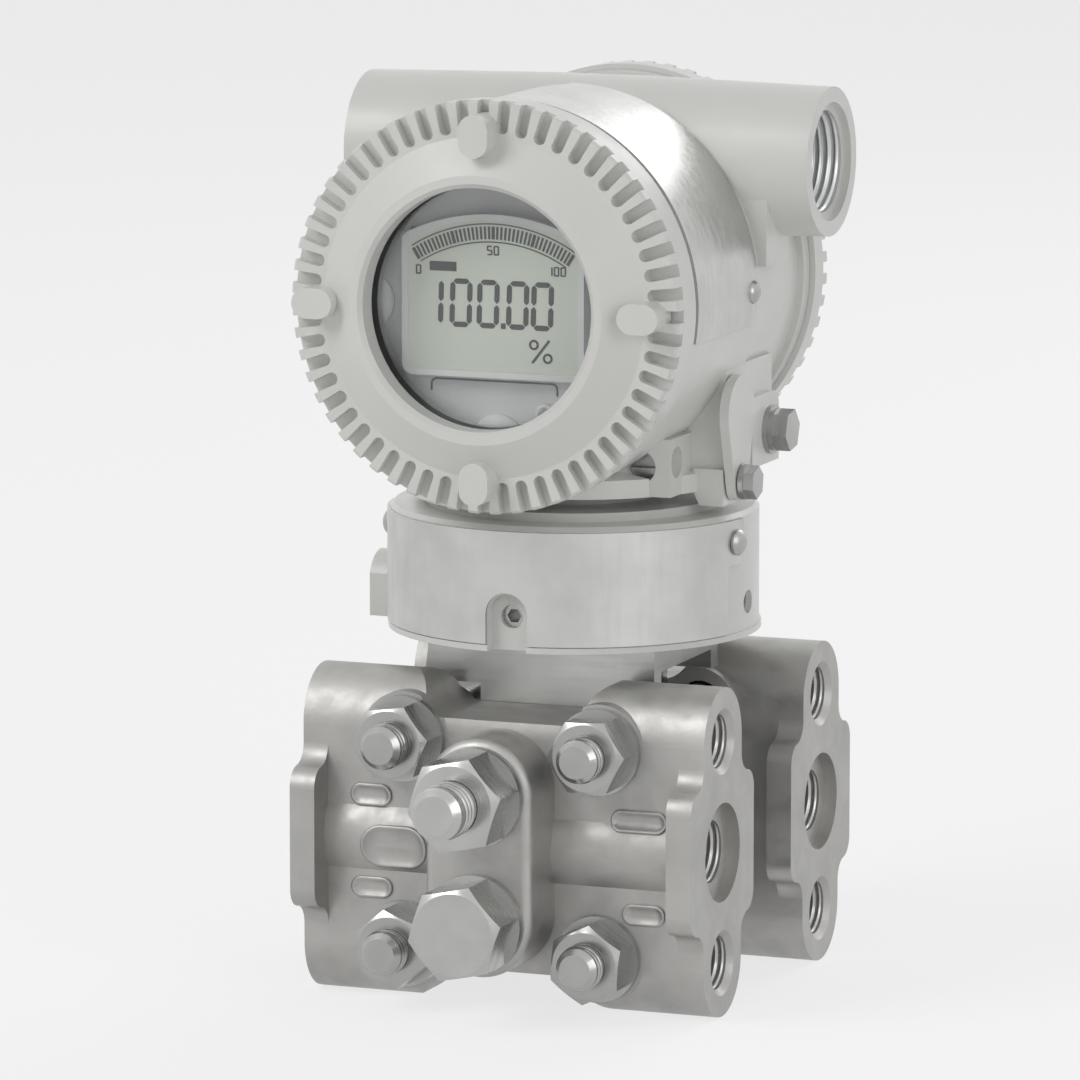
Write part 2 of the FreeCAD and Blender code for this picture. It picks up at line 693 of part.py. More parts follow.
# vent screws turn in the upper plugs; a spindle with a conical seat and a bevelled end
vent = newBody("vent_screw_front")
ventStart = -plugHexHeight * 0.75
ventEnd = ventReach
spindle = rings(vent, "XY", "spindle", [(0.0, 0.0)], ventRadius - threadClearance, ventStart)
pad(vent, spindle, ventEnd - ventStart)
bevel(vent, "ventTaper", ventTaper, circleAt(ventRadius - threadClearance, "z", ventEnd))
ventFace = padFace + plugCollarHeight + plugHexHeight
place(vent, 0.0, -ventFace, portHeight + plugOffset, "front")
copies("vent_screw_rear", vent, [(0.0, ventFace, portHeight + plugOffset, "rear", 0.0)])

# needle under the vent screw, pushed on its seat by it
needle = newBody("vent_needle_front")
needleTop = ventStart - 0.1
needleLow = 0.4 - needleDepth
pad(needle, rings(needle, "XY", "needlePin", [(0.0, 0.0)], needleRadius - threadClearance, needleLow), needleTop - needleLow)
place(needle, 0.0, -ventFace, portHeight + plugOffset, "front")
copies("vent_needle_rear", needle, [(0.0, ventFace, portHeight + plugOffset, "rear", 0.0)])

plugCap = newBody("blankPlug", False)
pad(plugCap, rings(plugCap, "XY", "blankBody", [(0.0, 0.0)], portBoreRadius - fitGap, -portSeatDepth), portBoreDepth * 0.6, -1)
pocket(plugCap, outline(plugCap, "XY", "blankSocket", hexagon(portBoreRadius * 1.05), -portSeatDepth), portBoreDepth * 0.35)
copies("port_blanking_plugs", plugCap, [
    (-halfLength, -portSpacing / 2, portHeight, "left", 0.0), (-halfLength, portSpacing / 2, portHeight, "left", 0.0)])

# ---- capsule, gaskets and diaphragms ----------------------------------------------------
capsule = newBody("capsule")
pad(capsule, rings(capsule, "XZ", "capsuleDisc", [(0.0, portHeight)], capsuleRadius), innerFace * 2, 0)
neckLow = drumBottom - neckHeight
pillar = outline(capsule, "XZ", "pillar", [
    (-pillarHalf, portHeight), (pillarHalf, portHeight), (pillarHalf, neckLow + 1.0), (-pillarHalf, neckLow + 1.0)])
pad(capsule, pillar, innerFace * 2, 0)
apronLow = portHeight + spotX + studBossRadius + 0.6
block = outline(capsule, "XZ", "neckBlock", [
    (-neckHalfX - neckTaper, apronLow), (neckHalfX, apronLow), (neckHalfX, drumBottom), (-neckHalfX, drumBottom)])
pad(capsule, block, innerFace * 2, 0)
for side in (1, -1):
    inner = (pillarHalf + 1.0) * side
    outer = (neckHalfX + neckTaper * 3) * side
    corners = [(inner, apronLow - 1.0), (outer, apronLow - 1.0), (outer, neckLow), (inner, neckLow)]
    if side < 0:
        corners.reverse()
    pocket(capsule, outline(capsule, "XZ", "undercut" + ("R" if side > 0 else "L"), corners), neckHalfY * 1.6, 0)

gasket = newBody("gasket", False)
gasketSketch = rings(gasket, "XY", "gasketRing", [(0.0, 0.0)], chamberRadius + gasketWidth)
ring(gasketSketch, 0.0, 0.0, chamberRadius)
pad(gasket, gasketSketch, gasketThick)
copies("process_gaskets", gasket, [
    (0.0, -innerFace, portHeight, "front", 0.0), (0.0, innerFace, portHeight, "rear", 0.0)])

# corrugated discs: rings of the same wall stepped up and down about the axis
diaphragm = newBody("diaphragm", False)
reach = chamberRadius - 0.6
thick = diaphragmThick
wave = thick * 0.6
disc = outline(diaphragm, "XZ", "discProfile", [
    (0.0, 0.0), (reach, 0.0), (reach, thick), (reach * 0.86, thick), (reach * 0.8, thick + wave),
    (reach * 0.74, thick), (reach * 0.62, thick), (reach * 0.56, thick + wave), (reach * 0.5, thick),
    (reach * 0.38, thick), (reach * 0.32, thick + wave), (reach * 0.26, thick), (0.0, thick)])
revolve(diaphragm, disc)
copies("diaphragms", diaphragm, [
    (0.0, -innerFace, portHeight, "front", 0.0), (0.0, innerFace, portHeight, "rear", 0.0)])

# ---- sensor drum ------------------------------------------------------------------------
drum = newBody("sensor_drum")
drumTop = drumBottom + drumHeight
discTop = drumTop + discRise
spigotTop = discTop + spigotRise
profile = outline(drum, "XZ", "drumProfile", [
    (0.0, drumBottom), (drumRadius + drumLipRise, drumBottom), (drumRadius + drumLipRise, drumBottom + drumLip),
    (drumRadius, drumBottom + drumLip), (drumRadius, drumTop - drumEdge), (drumRadius - drumEdge, drumTop),
    (discRadius, drumTop), (discRadius, discTop), (spigotRadius, discTop), (spigotRadius, spigotTop),
    (0.0, spigotTop)])
revolve(drum, profile)
lugBack = drumRadius - 4.0
lugTop = drumBottom + lugHeight
lug = outline(drum, "YZ", "lugShape", [
    (-lugHalf, drumBottom), (lugHalf, drumBottom), (lugHalf, lugTop - lugHalf * 0.7),
    (0.0, lugTop, lugHalf * 1.1), (-lugHalf, lugTop - lugHalf * 0.7, lugHalf * 1.1)], -lugReach)
pad(drum, lug, lugReach - lugBack)
peg = outline(drum, "XY", "stopPeg", [
    (-stopHalf, stopInner), (stopHalf, stopInner), (stopHalf, stopOuter), (-stopHalf, stopOuter)], discTop)
pad(drum, peg, stopRise)

# arch-topped recess at the front with the lock screw's threaded hole, and a second hole
archBase = drumBottom - 1.0
archSpring = drumBottom + archTop - archHalf
arch = outline(drum, "XZ", "archShape", [
    (-archHalf, archBase), (archHalf, archBase), (archHalf, archSpring),
    (0.0, archSpring + archHalf, archHalf), (-archHalf, archSpring, archHalf)], drumRadius - archDepth)
pocket(drum, arch, archDepth + 3.0, 1)
lockZ = drumBottom + lockHeight
lockSeat = drumRadius - archDepth
pocket(drum, rings(drum, "XZ", "lockHoleFront", [(0.0, lockZ)], lockRadius, lockSeat), lockDepth)
pocket(drum, rings(drum, "YZ", "lockHoleSide", [(0.0, lockZ)], lockRadius, drumRadius), lockDepth)
# wiring bore through the spigot and the sunk core that carries the sensor's leads
bore = outline(drum, "XZ", "wireBore", [
    (0.0, drumTop - 8.0), (spigotRadius * 0.5, drumTop - 8.0), (spigotRadius * 0.5, drumTop + 2.0),
    (spigotRadius - 3.0, drumTop + 2.0), (spigotRadius - 3.0, spigotTop + 1.0), (0.0, spigotTop + 1.0)])
groove(drum, bore)

lock = newBody("lockScrew", False)
pad(lock, rings(lock, "XY", "lockShank", [(0.0, 0.0)], lockRadius - fitGap), lockDepth * 0.7, -1)
pocket(lock, outline(lock, "XY", "lockSocket", hexagon(lockRadius * 1.1)), lockDepth * 0.3)
copies("lock_screws", lock, [
    (0.0, -lockSeat + 1.2, lockZ, "front", 0.0), (drumRadius - 1.2, 0.0, lockZ, "right", 0.0)])

# thin plate wrapped round the drum, cut out over the arch and at the side hole
wrap = newBody("drum_plate")
wrapInner = drumRadius + wrapGap
wrapLow = drumBottom + drumLip + 0.2
wrapHigh = drumTop - drumEdge - 0.2
strip = outline(wrap, "YZ", "strip", [
    (-wrapInner - wrapThick, wrapLow), (-wrapInner, wrapLow), (-wrapInner, wrapHigh), (-wrapInner - wrapThick, wrapHigh)])
revolve(wrap, strip, "V_Axis", wrapEnd * 2, True)
window = outline(wrap, "XZ", "archWindow", [
    (-archHalf - 0.3, archBase), (archHalf + 0.3, archBase), (archHalf + 0.3, archSpring),
    (0.0, archSpring + archHalf + 0.3, archHalf + 0.3), (-archHalf - 0.3, archSpring, archHalf + 0.3)], drumRadius - archDepth)
pocket(wrap, window, archDepth + 4.0, 1)
jog = outline(wrap, "YZ", "jog", [
    (-9.0, wrapLow - 1.0), (0.0, wrapLow - 1.0), (0.0, drumTop - 9.4), (-9.0, drumTop - 9.4)])
pocket(wrap, jog, drumRadius * 3, 0)

driveScrew = newBody("driveScrew", False)
driveHead = outline(driveScrew, "XZ", "driveHead", [
    (0.0, 0.0), (2.4, 0.0), (2.4, 0.5), (0.9, 1.5, 2.4), (0.0, 1.5)])
revolve(driveScrew, driveHead)
driveReach = drumRadius + wrapGap + wrapThick
driveSpots = []
for degrees in (80.0, -80.0):
    driveSpots.append((driveReach * sine(degrees), -driveReach * cosine(degrees), drumTop - 5.2, degrees, 0.0))
copies("drum_plate_screws", driveScrew, driveSpots)

# ---- electronics housing ----------------------------------------------------------------
# Its own frame has the barrel's axis as y and the swivel's axis as z.
housing = newBody("housing")


def level(z):
    return number(z) - axisHeight


def sweep(size, degrees):
    """Point at this radius, at this many degrees from the front towards the right."""
    return (size * sine(degrees), -(size * cosine(degrees)))


barrel = outline(housing, "YZ", "barrel", [
    (-frontFace, 0.0), (rearFace, 0.0), (rearFace, rearRadius + 1.2), (rearFace - rearCollar, rearRadius + 1.2),
    (rearFace - rearCollar, rearRadius), (barrelStep, rearRadius), (barrelStep, barrelRadius),
    (frontCollar - frontFace, barrelRadius), (frontCollar - frontFace, collarRadius), (-frontFace, collarRadius)])
revolve(housing, barrel, "H_Axis")

# round base with its rim, a column into the barrel, the web and foot at the right
under = level(housingUnder)
base = outline(housing, "XZ", "base", [
    (0.0, under), (baseRadius, under), (baseRadius, under + baseRim), (baseColumn, under + baseRim + 1.0),
    (baseColumn, -rearRadius * 0.6), (0.0, -rearRadius * 0.6)])
revolve(housing, base)
adjustBlock = outline(housing, "XZ", "adjustBlock", [
    (blockX - blockHalf, level(blockLow)), (blockX + blockHalf, level(blockLow)),
    (blockX + blockHalf, level(blockHigh)), (blockX - blockHalf, level(blockHigh))], blockFront)
pad(housing, adjustBlock, blockFront - webFront + 1.0, -1)
web = outline(housing, "XZ", "web", [
    (baseColumn * 0.7, level(webLow)), (pivotFace, level(webLow)), (pivotFace, -rearRadius * 0.4),
    (baseColumn * 0.7, -rearRadius * 0.4)], webFront)
pad(housing, web, webFront + bossBack - 0.5, -1)
footStart = stopOuter + swivelGap                 # the stop peg passes inside the foot
foot = outline(housing, "XZ", "foot", [
    (footStart, level(webLow) + 1.0), (footStart, under), (footInner, level(footLow)),
    (pivotFace, level(footLow)), (pivotFace, level(webLow) + 1.0)], footFront)
pad(housing, foot, footFront - footBack, -1)
boss = outline(housing, "YZ", "earthBoss", [
    (bossFront, level(bossLow)), (bossBack, level(bossLow)), (bossBack, level(bossHigh) - 3.0),
    (bossBack - 3.0, level(bossHigh), 3.0), (bossFront, level(bossHigh))], bossFace)
pad(housing, boss, bossFace - baseColumn * 0.8, -1)

# conduit tube across the rear of the barrel, swelling slightly to the middle
tubeTop = conduitRise + conduitRadius
tube = newSketch(housing, "XZ", "tube", -conduitY)
loop(tube, [(-conduitHalf, conduitRise), (conduitHalf, conduitRise), (conduitHalf, tubeTop),
            (conduitHalf * 0.2, tubeTop + conduitSwell), (-conduitHalf * 0.2, tubeTop + conduitSwell),
            (-conduitHalf, tubeTop)])
axis = tube.addGeometry(Part.LineSegment(
    FreeCAD.Vector(-10, plain(conduitRise), 0), FreeCAD.Vector(10, plain(conduitRise), 0)), True)
for point, x in ((1, -10.0), (2, 10.0)):
    fix(tube, "DistanceX", (axis, point), x)
    fix(tube, "DistanceY", (axis, point), conduitRise)
revolve(housing, tube, "Axis0")
rib = outline(housing, "XZ", "tubeRib", [
    (rearRadius * 0.7, 4.0), (rearRadius + 2.4, 4.0), (rearRadius + 2.4, conduitRise), (rearRadius * 0.7, conduitRise)])
pad(housing, rib, conduitY - 0.6, -1)

# skirt segment under the rim, ending in the stop tab
skirtLow = under - skirtDrop
skirt = outline(housing, "XY", "skirt", [
    sweep(baseRadius, -92.0), sweep(baseRadius, -3.0) + (baseRadius,), sweep(skirtInner, -3.0),
    sweep(skirtInner, -92.0) + (-skirtInner,)], skirtLow)
pad(housing, skirt, skirtDrop + 0.5)
tab = outline(housing, "XY", "stopTab", [
    (-tabHalf * 3, -baseRadius + 1.0), (-tabHalf * 3, -tabInner), (-tabHalf, -tabInner), (-tabHalf, -baseRadius + 1.0)],
    under - tabDrop)
pad(housing, tab, tabDrop + 0.5)

# flat behind the rear face, so that the base clears the rear cover
trim = outline(housing, "XY", "rearTrim", [
    (-baseRadius, rearFace), (baseRadius, rearFace), (baseRadius, rearFace + 20.0), (-baseRadius, rearFace + 20.0)],
    under - 1.0)
pocket(housing, trim, axisHeight - housingUnder - rearRadius * 0.5, 1)

# chambers: threaded mouth, then the narrower room
room = barrelRadius - chamberWall
chambers = outline(housing, "YZ", "frontChamber", [
    (-frontFace - 1.0, 0.0), (-frontFace - 1.0, threadRadius), (threadDepth - frontFace, threadRadius),
    (threadDepth - frontFace, room), (-midWall, room), (-midWall, 0.0)])
groove(housing, chambers, "H_Axis")
rearRoom = outline(housing, "YZ", "rearChamber", [
    (rearFace + 1.0, 0.0), (rearFace + 1.0, threadRadius), (rearFace - threadDepth, threadRadius),
    (rearFace - threadDepth, room), (midWall, room), (midWall, 0.0)])
groove(housing, rearRoom, "H_Axis")
for side in (1, -1):
    end = "Right" if side > 0 else "Left"
    centre = [(conduitY, conduitRise)]
    face = conduitHalf * side
    pocket(housing, rings(housing, "YZ", "entry" + end, centre, conduitBore, face), conduitThread, -side)
    pocket(housing, rings(housing, "YZ", "mouth" + end, centre, conduitBore + conduitMouth, face), conduitMouth, -side)
pocket(housing, rings(housing, "YZ", "raceway", [(conduitY, conduitRise)], racewayRadius), conduitHalf * 2 - 4.0, 0)

# swivel bore over the drum's spigot, and the hole for the sensor's leads
boreTop = level(spigotTop) + 0.4
swivel = outline(housing, "XZ", "swivelBore", [
    (0.0, under - 6.0), (spigotRadius + swivelGap, under - 6.0), (spigotRadius + swivelGap, boreTop), (0.0, boreTop)])
groove(housing, swivel)
pocket(housing, rings(housing, "XY", "leadHole", [(0.0, -midWall * 3)], 5.0, boreTop - 1.0), 12.0, 1)

# threaded holes of the adjustment block, the earthing screw and the swing plate's pivot
pocket(housing, rings(housing, "XZ", "adjustHole", [(adjustX, level(adjustZ))], adjustRadius, blockFront), adjustDepth)
pocket(housing, rings(housing, "YZ", "sideHole", [(-sideHoleY, level(adjustZ) + 0.8)], sideHoleRadius,
                      blockX + blockHalf), 2.2)
pocket(housing, rings(housing, "YZ", "earthHole", [(earthY, level(earthZ))], earthRadius, bossFace), earthLength + 0.5)
pocket(housing, rings(housing, "YZ", "pivotHole", [(pivotY, level(pivotZ))], pivotRadius, pivotFace), 7.0)
place(housing, 0.0, 0.0, axisHeight, "up")

# ---- covers -----------------------------------------------------------------------------
# z is outwards from the housing's face, on the barrel's axis.
def coverBody(label, side, window):
    """A screwed cover: threaded spigot, knurled rim and four lobes; side is the rim's width."""
    body = newBody(label)
    front = coverGap + side
    spigot = threadRadius - threadClearance
    seat = spigot - 1.3
    inner = glassRadius + 4.2
    points = [(seat, -0.2), (seat, -2.4), (spigot, -2.4), (spigot, -coverSpigot), (inner, -coverSpigot)]
    if window:
        crown = front + coverCrown
        glassFront = crown - windowLip
        points += [(inner, glassFront - glassThick - 2.4), (glassRadius + 0.15, glassFront - glassThick - 2.4),
                   (glassRadius + 0.15, glassFront), (windowRadius, glassFront), (windowRadius, crown - 0.8),
                   (windowRadius + 0.8, crown), (windowOuter, crown)]
    else:
        crown = front + rearCrown
        points += [(inner, front - 2.6), (0.0, front - 2.6), (0.0, crown), (windowOuter, crown)]
    points += [(coverFlat, front), (coverRadius - 0.5, front), (coverRadius, front - 0.5), (coverRadius, coverGap),
               (spigot, coverGap), (spigot, -0.2)]
    revolve(body, outline(body, "XZ", label + "Profile", points))
    outer = coverRadius + 2.0
    half = grooveWidth / 2
    slot = outline(body, "XY", label + "Slot", [
        (grooveInner + half, -half, half), (outer, -half), (outer, half), (grooveInner + half, half),
        (grooveInner, 0.0, half)], front)
    around(body, pocket(body, slot, grooveDepth), 56)
    lugHalfLong = lugLong / 2
    lugHalfWide = lugWide / 2
    for index, (x, y) in enumerate(((1, 0), (0, 1), (-1, 0), (0, -1))):
        shape = stadium(lugHalfLong, lugHalfWide, False) if x else stadium(lugHalfWide, lugHalfLong, True)
        spot = outline(body, "XY", label + "Lobe" + str(index), shifted(shape, lugCentre * x, lugCentre * y), front - 2.0)
        pad(body, spot, lugRise + 2.0 if window else lugRise)
    return body


frontCover = coverBody("front_cover", coverSide, True)
place(frontCover, 0.0, -frontFace, axisHeight, "front")
rearCoverBody = coverBody("rear_cover", rearCoverSide, False)
place(rearCoverBody, 0.0, rearFace, axisHeight, "rear")

coverTop = coverGap + coverSide + coverCrown
glassTop = coverTop - windowLip
glass = newBody("cover_glass")
pad(glass, rings(glass, "XY", "glassDisc", [(0.0, 0.0)], glassRadius, glassTop - glassThick), glassThick)
place(glass, 0.0, -frontFace, axisHeight, "front")
retainer = newBody("glass_retainer")
retainerSketch = rings(retainer, "XY", "retainerRing", [(0.0, 0.0)], glassRadius + 0.1, glassTop - glassThick - 2.2)
ring(retainerSketch, 0.0, 0.0, windowRadius)
pad(retainer, retainerSketch, 2.2)
place(retainer, 0.0, -frontFace, axisHeight, "front")

# sealing rings in the grooves of the covers' spigots
seal = newBody("front_cover_seal")
sealRound = cell("seal_round", 0.55)
sealSketch = newSketch(seal, "XZ", "sealSection")
ring(sealSketch, threadRadius - 0.15 - sealRound, -1.3, sealRound)
revolve(seal, sealSketch)
place(seal, 0.0, -frontFace, axisHeight, "front")
copies("rear_cover_seal", seal, [(0.0, rearFace, axisHeight, "rear", 0.0)])

# ---- display and electronics ------------------------------------------------------------
# z is outwards from the housing's front face; everything sits behind the glass's retainer.
bezelTop = glassTop - glassThick - 2.2 - bezelFront
bezel = newBody("display_frame")
pad(bezel, rings(bezel, "XY", "bezelDisc", [(0.0, 0.0)], bezelRadius, bezelTop - bezelDepth), bezelDepth)
frameWindow = outline(bezel, "XY", "cellWindow", [
    (-cellHalfX, -cellLow), (cellHalfX, -cellLow), (cellHalfX, cellHigh), (-cellHalfX, cellHigh)], bezelTop)
pocket(bezel, frameWindow, cellInset + cellThick)
displaySpots = [(bezelRadius * 0.78 * a, bezelRadius * 0.5 * b) for a in (1, -1) for b in (1, -1)]
pocket(bezel, rings(bezel, "XY", "bezelHoles", displaySpots, screwRadius + holeGap, bezelTop), bezelDepth + 1.0)
place(bezel, 0.0, -frontFace, axisHeight, "front")
lcd = newBody("display_cell")
lcdShape = outline(lcd, "XY", "cellShape", [
    (-cellHalfX + 0.1, -cellLow + 0.1), (cellHalfX - 0.1, -cellLow + 0.1), (cellHalfX - 0.1, cellHigh - 0.1),
    (-cellHalfX + 0.1, cellHigh - 0.1)], bezelTop - cellInset - cellThick)
pad(lcd, lcdShape, cellThick)
place(lcd, 0.0, -frontFace, axisHeight, "front")
card = newBody("display_board")
cardTop = bezelTop - bezelDepth
pad(card, rings(card, "XY", "cardDisc", [(0.0, 0.0)], boardRadius, cardTop - boardThick), boardThick)
pocket(card, rings(card, "XY", "cardHoles", displaySpots, screwRadius + holeGap, cardTop), boardThick + 1.0)
place(card, 0.0, -frontFace, axisHeight, "front")
screw = newBody("displayScrew", False)
screwLength = bezelDepth + boardThick + boardGap
pad(screw, rings(screw, "XY", "screwShank", [(0.0, 0.0)], screwRadius, -screwLength), screwLength)
pad(screw, rings(screw, "XY", "screwHead", [(0.0, 0.0)], screwHead), 1.6)
pocket(screw, rings(screw, "XY", "screwSocket", [(0.0, 0.0)], 1.0, 1.6), 1.0)
screwSpots = []
for x, y in displaySpots:
    screwSpots.append((x, -frontFace - bezelTop, axisHeight + y, "front", 0.0))
copies("display_screws", screw, screwSpots)
boards = newBody("electronics_stack")
stackTop = cardTop - boardThick - boardGap
stackDepth = frontFace + stackTop - midWall
pad(boards, rings(boards, "XY", "stackDisc", [(0.0, 0.0)], boardRadius, stackTop - stackDepth), stackDepth)
place(boards, 0.0, -frontFace, axisHeight, "front")

terminals = newBody("terminal_block")
terminalTop = conduitY - racewayRadius
pad(terminals, outline(terminals, "XY", "terminalShape", stadium(terminalHalf, 10.0, False), midWall), terminalDepth)
place(terminals, 0.0, 0.0, axisHeight - 12.0, "rear")
clampScrew = newBody("terminalScrew", False)
pad(clampScrew, rings(clampScrew, "XY", "clampHead", [(0.0, 0.0)], 3.0), 2.0)
slotShape = outline(clampScrew, "XY", "clampSlot", [(-4.0, -0.4), (4.0, -0.4), (4.0, 0.4), (-4.0, 0.4)], 2.0)
pocket(clampScrew, slotShape, 0.9)
clampSpots = []
for x in (-16.5, -5.5, 5.5, 16.5):
    clampSpots.append((x, midWall + terminalDepth, axisHeight - 12.0, "rear", 35.0))
copies("terminal_screws", clampScrew, clampSpots)

# ---- trim on the housing ----------------------------------------------------------------
namePlate = newBody("name_plate")
nameInner = barrelRadius + wrapGap
sheet1 = outline(namePlate, "YZ", "nameStrip", [
    (frontCollar - frontFace + 2.6, nameInner), (-2.0, nameInner), (-2.0, nameInner + wrapThick),
    (frontCollar - frontFace + 2.6, nameInner + wrapThick)])
revolve(namePlate, sheet1, "H_Axis", 100.0)
place(namePlate, 0.0, 0.0, axisHeight, "up")

earth = newBody("earthScrew", False)
pad(earth, rings(earth, "XY", "earthShank", [(0.0, 0.0)], earthRadius - fitGap, -earthLength), earthLength)
pad(earth, rings(earth, "XY", "earthCollar", [(0.0, 0.0)], earthFlats * 0.57), 0.8)
pad(earth, outline(earth, "XY", "earthHex", hexagon(earthFlats, 10.0), 0.8), earthHead)
copies("earth_screw", earth, [(bossFace + earthWasherThick, earthY, earthZ, "right", 0.0)])
earthRing = newBody("earth_washer")
earthSketch = rings(earthRing, "XY", "earthRing", [(0.0, 0.0)], earthWasher)
ring(earthSketch, 0.0, 0.0, earthRadius + holeGap)
pad(earthRing, earthSketch, earthWasherThick)
place(earthRing, bossFace, earthY, earthZ, "right")

pivot = newBody("pivot_screw")
pivotStart = plateThick + plateGap * 2
pad(pivot, rings(pivot, "XY", "pivotShank", [(0.0, 0.0)], pivotRadius - fitGap, -6.5), pivotStart + 6.5)
pad(pivot, rings(pivot, "XY", "pivotCollar", [(0.0, 0.0)], pivotHead, pivotStart), 0.9)
pad(pivot, outline(pivot, "XY", "pivotHex", hexagon(pivotHead * 1.65, 20.0), pivotStart + 0.9), pivotHeadHeight)
place(pivot, pivotFace, pivotY, pivotZ, "right")

# swing plate: a teardrop tangent to two circles, hung on the pivot screw
swing = newBody("swing_plate")
slope = (plateRadius - plateNarrow) / plateLong
cosSlope = root(1.0 - slope * slope)
lowX = plateNarrow * cosSlope
lowY = -(plateNarrow * slope)
highX = plateRadius * cosSlope
highY = plateLong - plateRadius * slope
tear = outline(swing, "XY", "teardrop", [
    (lowX, lowY, plateNarrow), (highX, highY), (0.0, plateLong + plateRadius, plateRadius),
    (-highX, highY, plateRadius), (-lowX, lowY), (0.0, -plateNarrow, plateNarrow)], plateGap)
pad(swing, tear, plateThick)
pocket(swing, rings(swing, "XY", "pivotEye", [(0.0, 0.0)], pivotRadius + 0.08, plateGap + plateThick), plateThick + 1.0)
place(swing, pivotFace, pivotY, pivotZ, "right")

adjuster = newBody("zero_screw")
pad(adjuster, rings(adjuster, "XY", "adjusterShank", [(0.0, 0.0)], adjustRadius - 0.06, 0.3 - adjustDepth), adjustDepth - 2.6)
adjusterTop = -2.3
pocket(adjuster, outline(adjuster, "XY", "adjusterSlot", [
    (-4.0, -0.45), (4.0, -0.45), (4.0, 0.45), (-4.0, 0.45)], adjusterTop), 1.2)
place(adjuster, adjustX, -blockFront, adjustZ, "front")

# ---- check and export -------------------------------------------------------------------
doc.recompute()
for thing in doc.Objects:
    if "Invalid" in thing.State or "Error" in thing.State:
        raise ValueError(thing.Name + " is in state " + str(thing.State))
os.makedirs("parts", exist_ok=True)
for thing in exported:
    shape = thing.Shape
    if shape.isNull() or not shape.isValid() or not shape.Solids:
        raise ValueError(thing.Label + " has no valid shape")
    shape.exportStep("parts/" + thing.Label + ".step")
    print(thing.Label, len(shape.Solids), round(shape.Volume, 1))
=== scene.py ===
import json
import math

import bpy
import numpy as np
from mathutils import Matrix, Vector


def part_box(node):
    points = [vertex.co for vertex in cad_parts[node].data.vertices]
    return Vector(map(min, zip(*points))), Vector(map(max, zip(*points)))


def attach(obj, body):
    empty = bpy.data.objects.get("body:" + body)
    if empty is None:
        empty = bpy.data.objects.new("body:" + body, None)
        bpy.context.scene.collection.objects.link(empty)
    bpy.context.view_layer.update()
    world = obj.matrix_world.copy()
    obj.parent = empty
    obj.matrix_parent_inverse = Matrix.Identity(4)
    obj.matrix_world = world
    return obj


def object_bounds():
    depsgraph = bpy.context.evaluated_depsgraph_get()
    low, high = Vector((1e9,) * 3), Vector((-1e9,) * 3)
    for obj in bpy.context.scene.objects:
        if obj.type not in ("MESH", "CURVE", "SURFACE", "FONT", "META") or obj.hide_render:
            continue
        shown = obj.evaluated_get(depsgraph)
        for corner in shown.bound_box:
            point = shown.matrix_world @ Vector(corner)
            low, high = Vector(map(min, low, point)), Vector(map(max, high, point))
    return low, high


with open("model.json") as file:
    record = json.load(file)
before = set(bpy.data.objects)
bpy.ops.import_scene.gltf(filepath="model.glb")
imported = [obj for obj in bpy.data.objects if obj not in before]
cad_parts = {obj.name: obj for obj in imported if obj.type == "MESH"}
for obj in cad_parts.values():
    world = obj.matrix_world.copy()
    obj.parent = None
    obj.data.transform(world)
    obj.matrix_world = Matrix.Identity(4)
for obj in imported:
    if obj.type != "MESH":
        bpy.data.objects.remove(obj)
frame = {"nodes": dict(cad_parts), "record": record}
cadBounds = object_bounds()
nodes = frame["nodes"]
mounts = {mount["name"]: mount for mount in frame["record"]["mounts"]}
mm = 0.001
tau = 2 * math.pi


def nodeBox(name):
    low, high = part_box(name)  # lowest and highest corner at rest, in metres
    return np.array(low) / mm, np.array(high) / mm


# A part is (points in mm, groups of faces), and a piece is a list of parts.


def gridPart(grid, closedAlong=False):
    # grid[i, j] is a point; j runs round a closed ring, i runs along the piece.
    # Quads join the neighbours. Open ends are closed by a fan on the ring's middle.
    rows, columns = grid.shape[:2]
    index = np.arange(rows * columns).reshape(rows, columns)
    following = np.roll(index, -1, axis=0) if closedAlong else index[1:]
    current = index if closedAlong else index[:-1]
    quads = np.stack([current, np.roll(current, -1, 1), np.roll(following, -1, 1), following], -1)
    points, faces = grid.reshape(-1, 3), [quads.reshape(-1, 4)]
    if not closedAlong:
        hub = np.full(columns, len(points))
        start = np.stack([np.roll(index[0], -1), index[0], hub], -1)
        end = np.stack([index[-1], np.roll(index[-1], -1), hub + 1], -1)
        faces.append(np.vstack([start, end]))
        points = np.vstack([points, grid[0].mean(0), grid[-1].mean(0)])
    return outwards(points, faces)


def outwards(points, faces):
    # the volume below the faces, summed over their triangles, is negative where they point inwards
    total = 0.0
    for group in faces:
        corner = points[group]
        for second in range(1, group.shape[1] - 1):
            total += np.einsum("ij,ij->", corner[:, 0], np.cross(corner[:, second], corner[:, second + 1]))
    return points, faces if total > 0 else [group[:, ::-1] for group in faces]


def makePiece(name, parts, body, material, smooth=True):
    # the parts' points one after another, each part's faces counted on from the points before it
    points = np.vstack([partPoints for partPoints, partFaces in parts])
    offsets = np.cumsum([0] + [len(partPoints) for partPoints, partFaces in parts])
    faces = [face for (partPoints, partFaces), offset in zip(parts, offsets)
             for group in partFaces for face in (group + offset).tolist()]
    mesh = bpy.data.meshes.new(name)
    mesh.from_pydata((points * mm).tolist(), [], faces)
    mesh.polygons.foreach_set("use_smooth", np.full(len(faces), smooth))
    mesh.materials.append(material)
    mesh.update()
    piece = bpy.data.objects.new(name, mesh)
    bpy.context.scene.collection.objects.link(piece)
    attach(piece, body)
    return piece


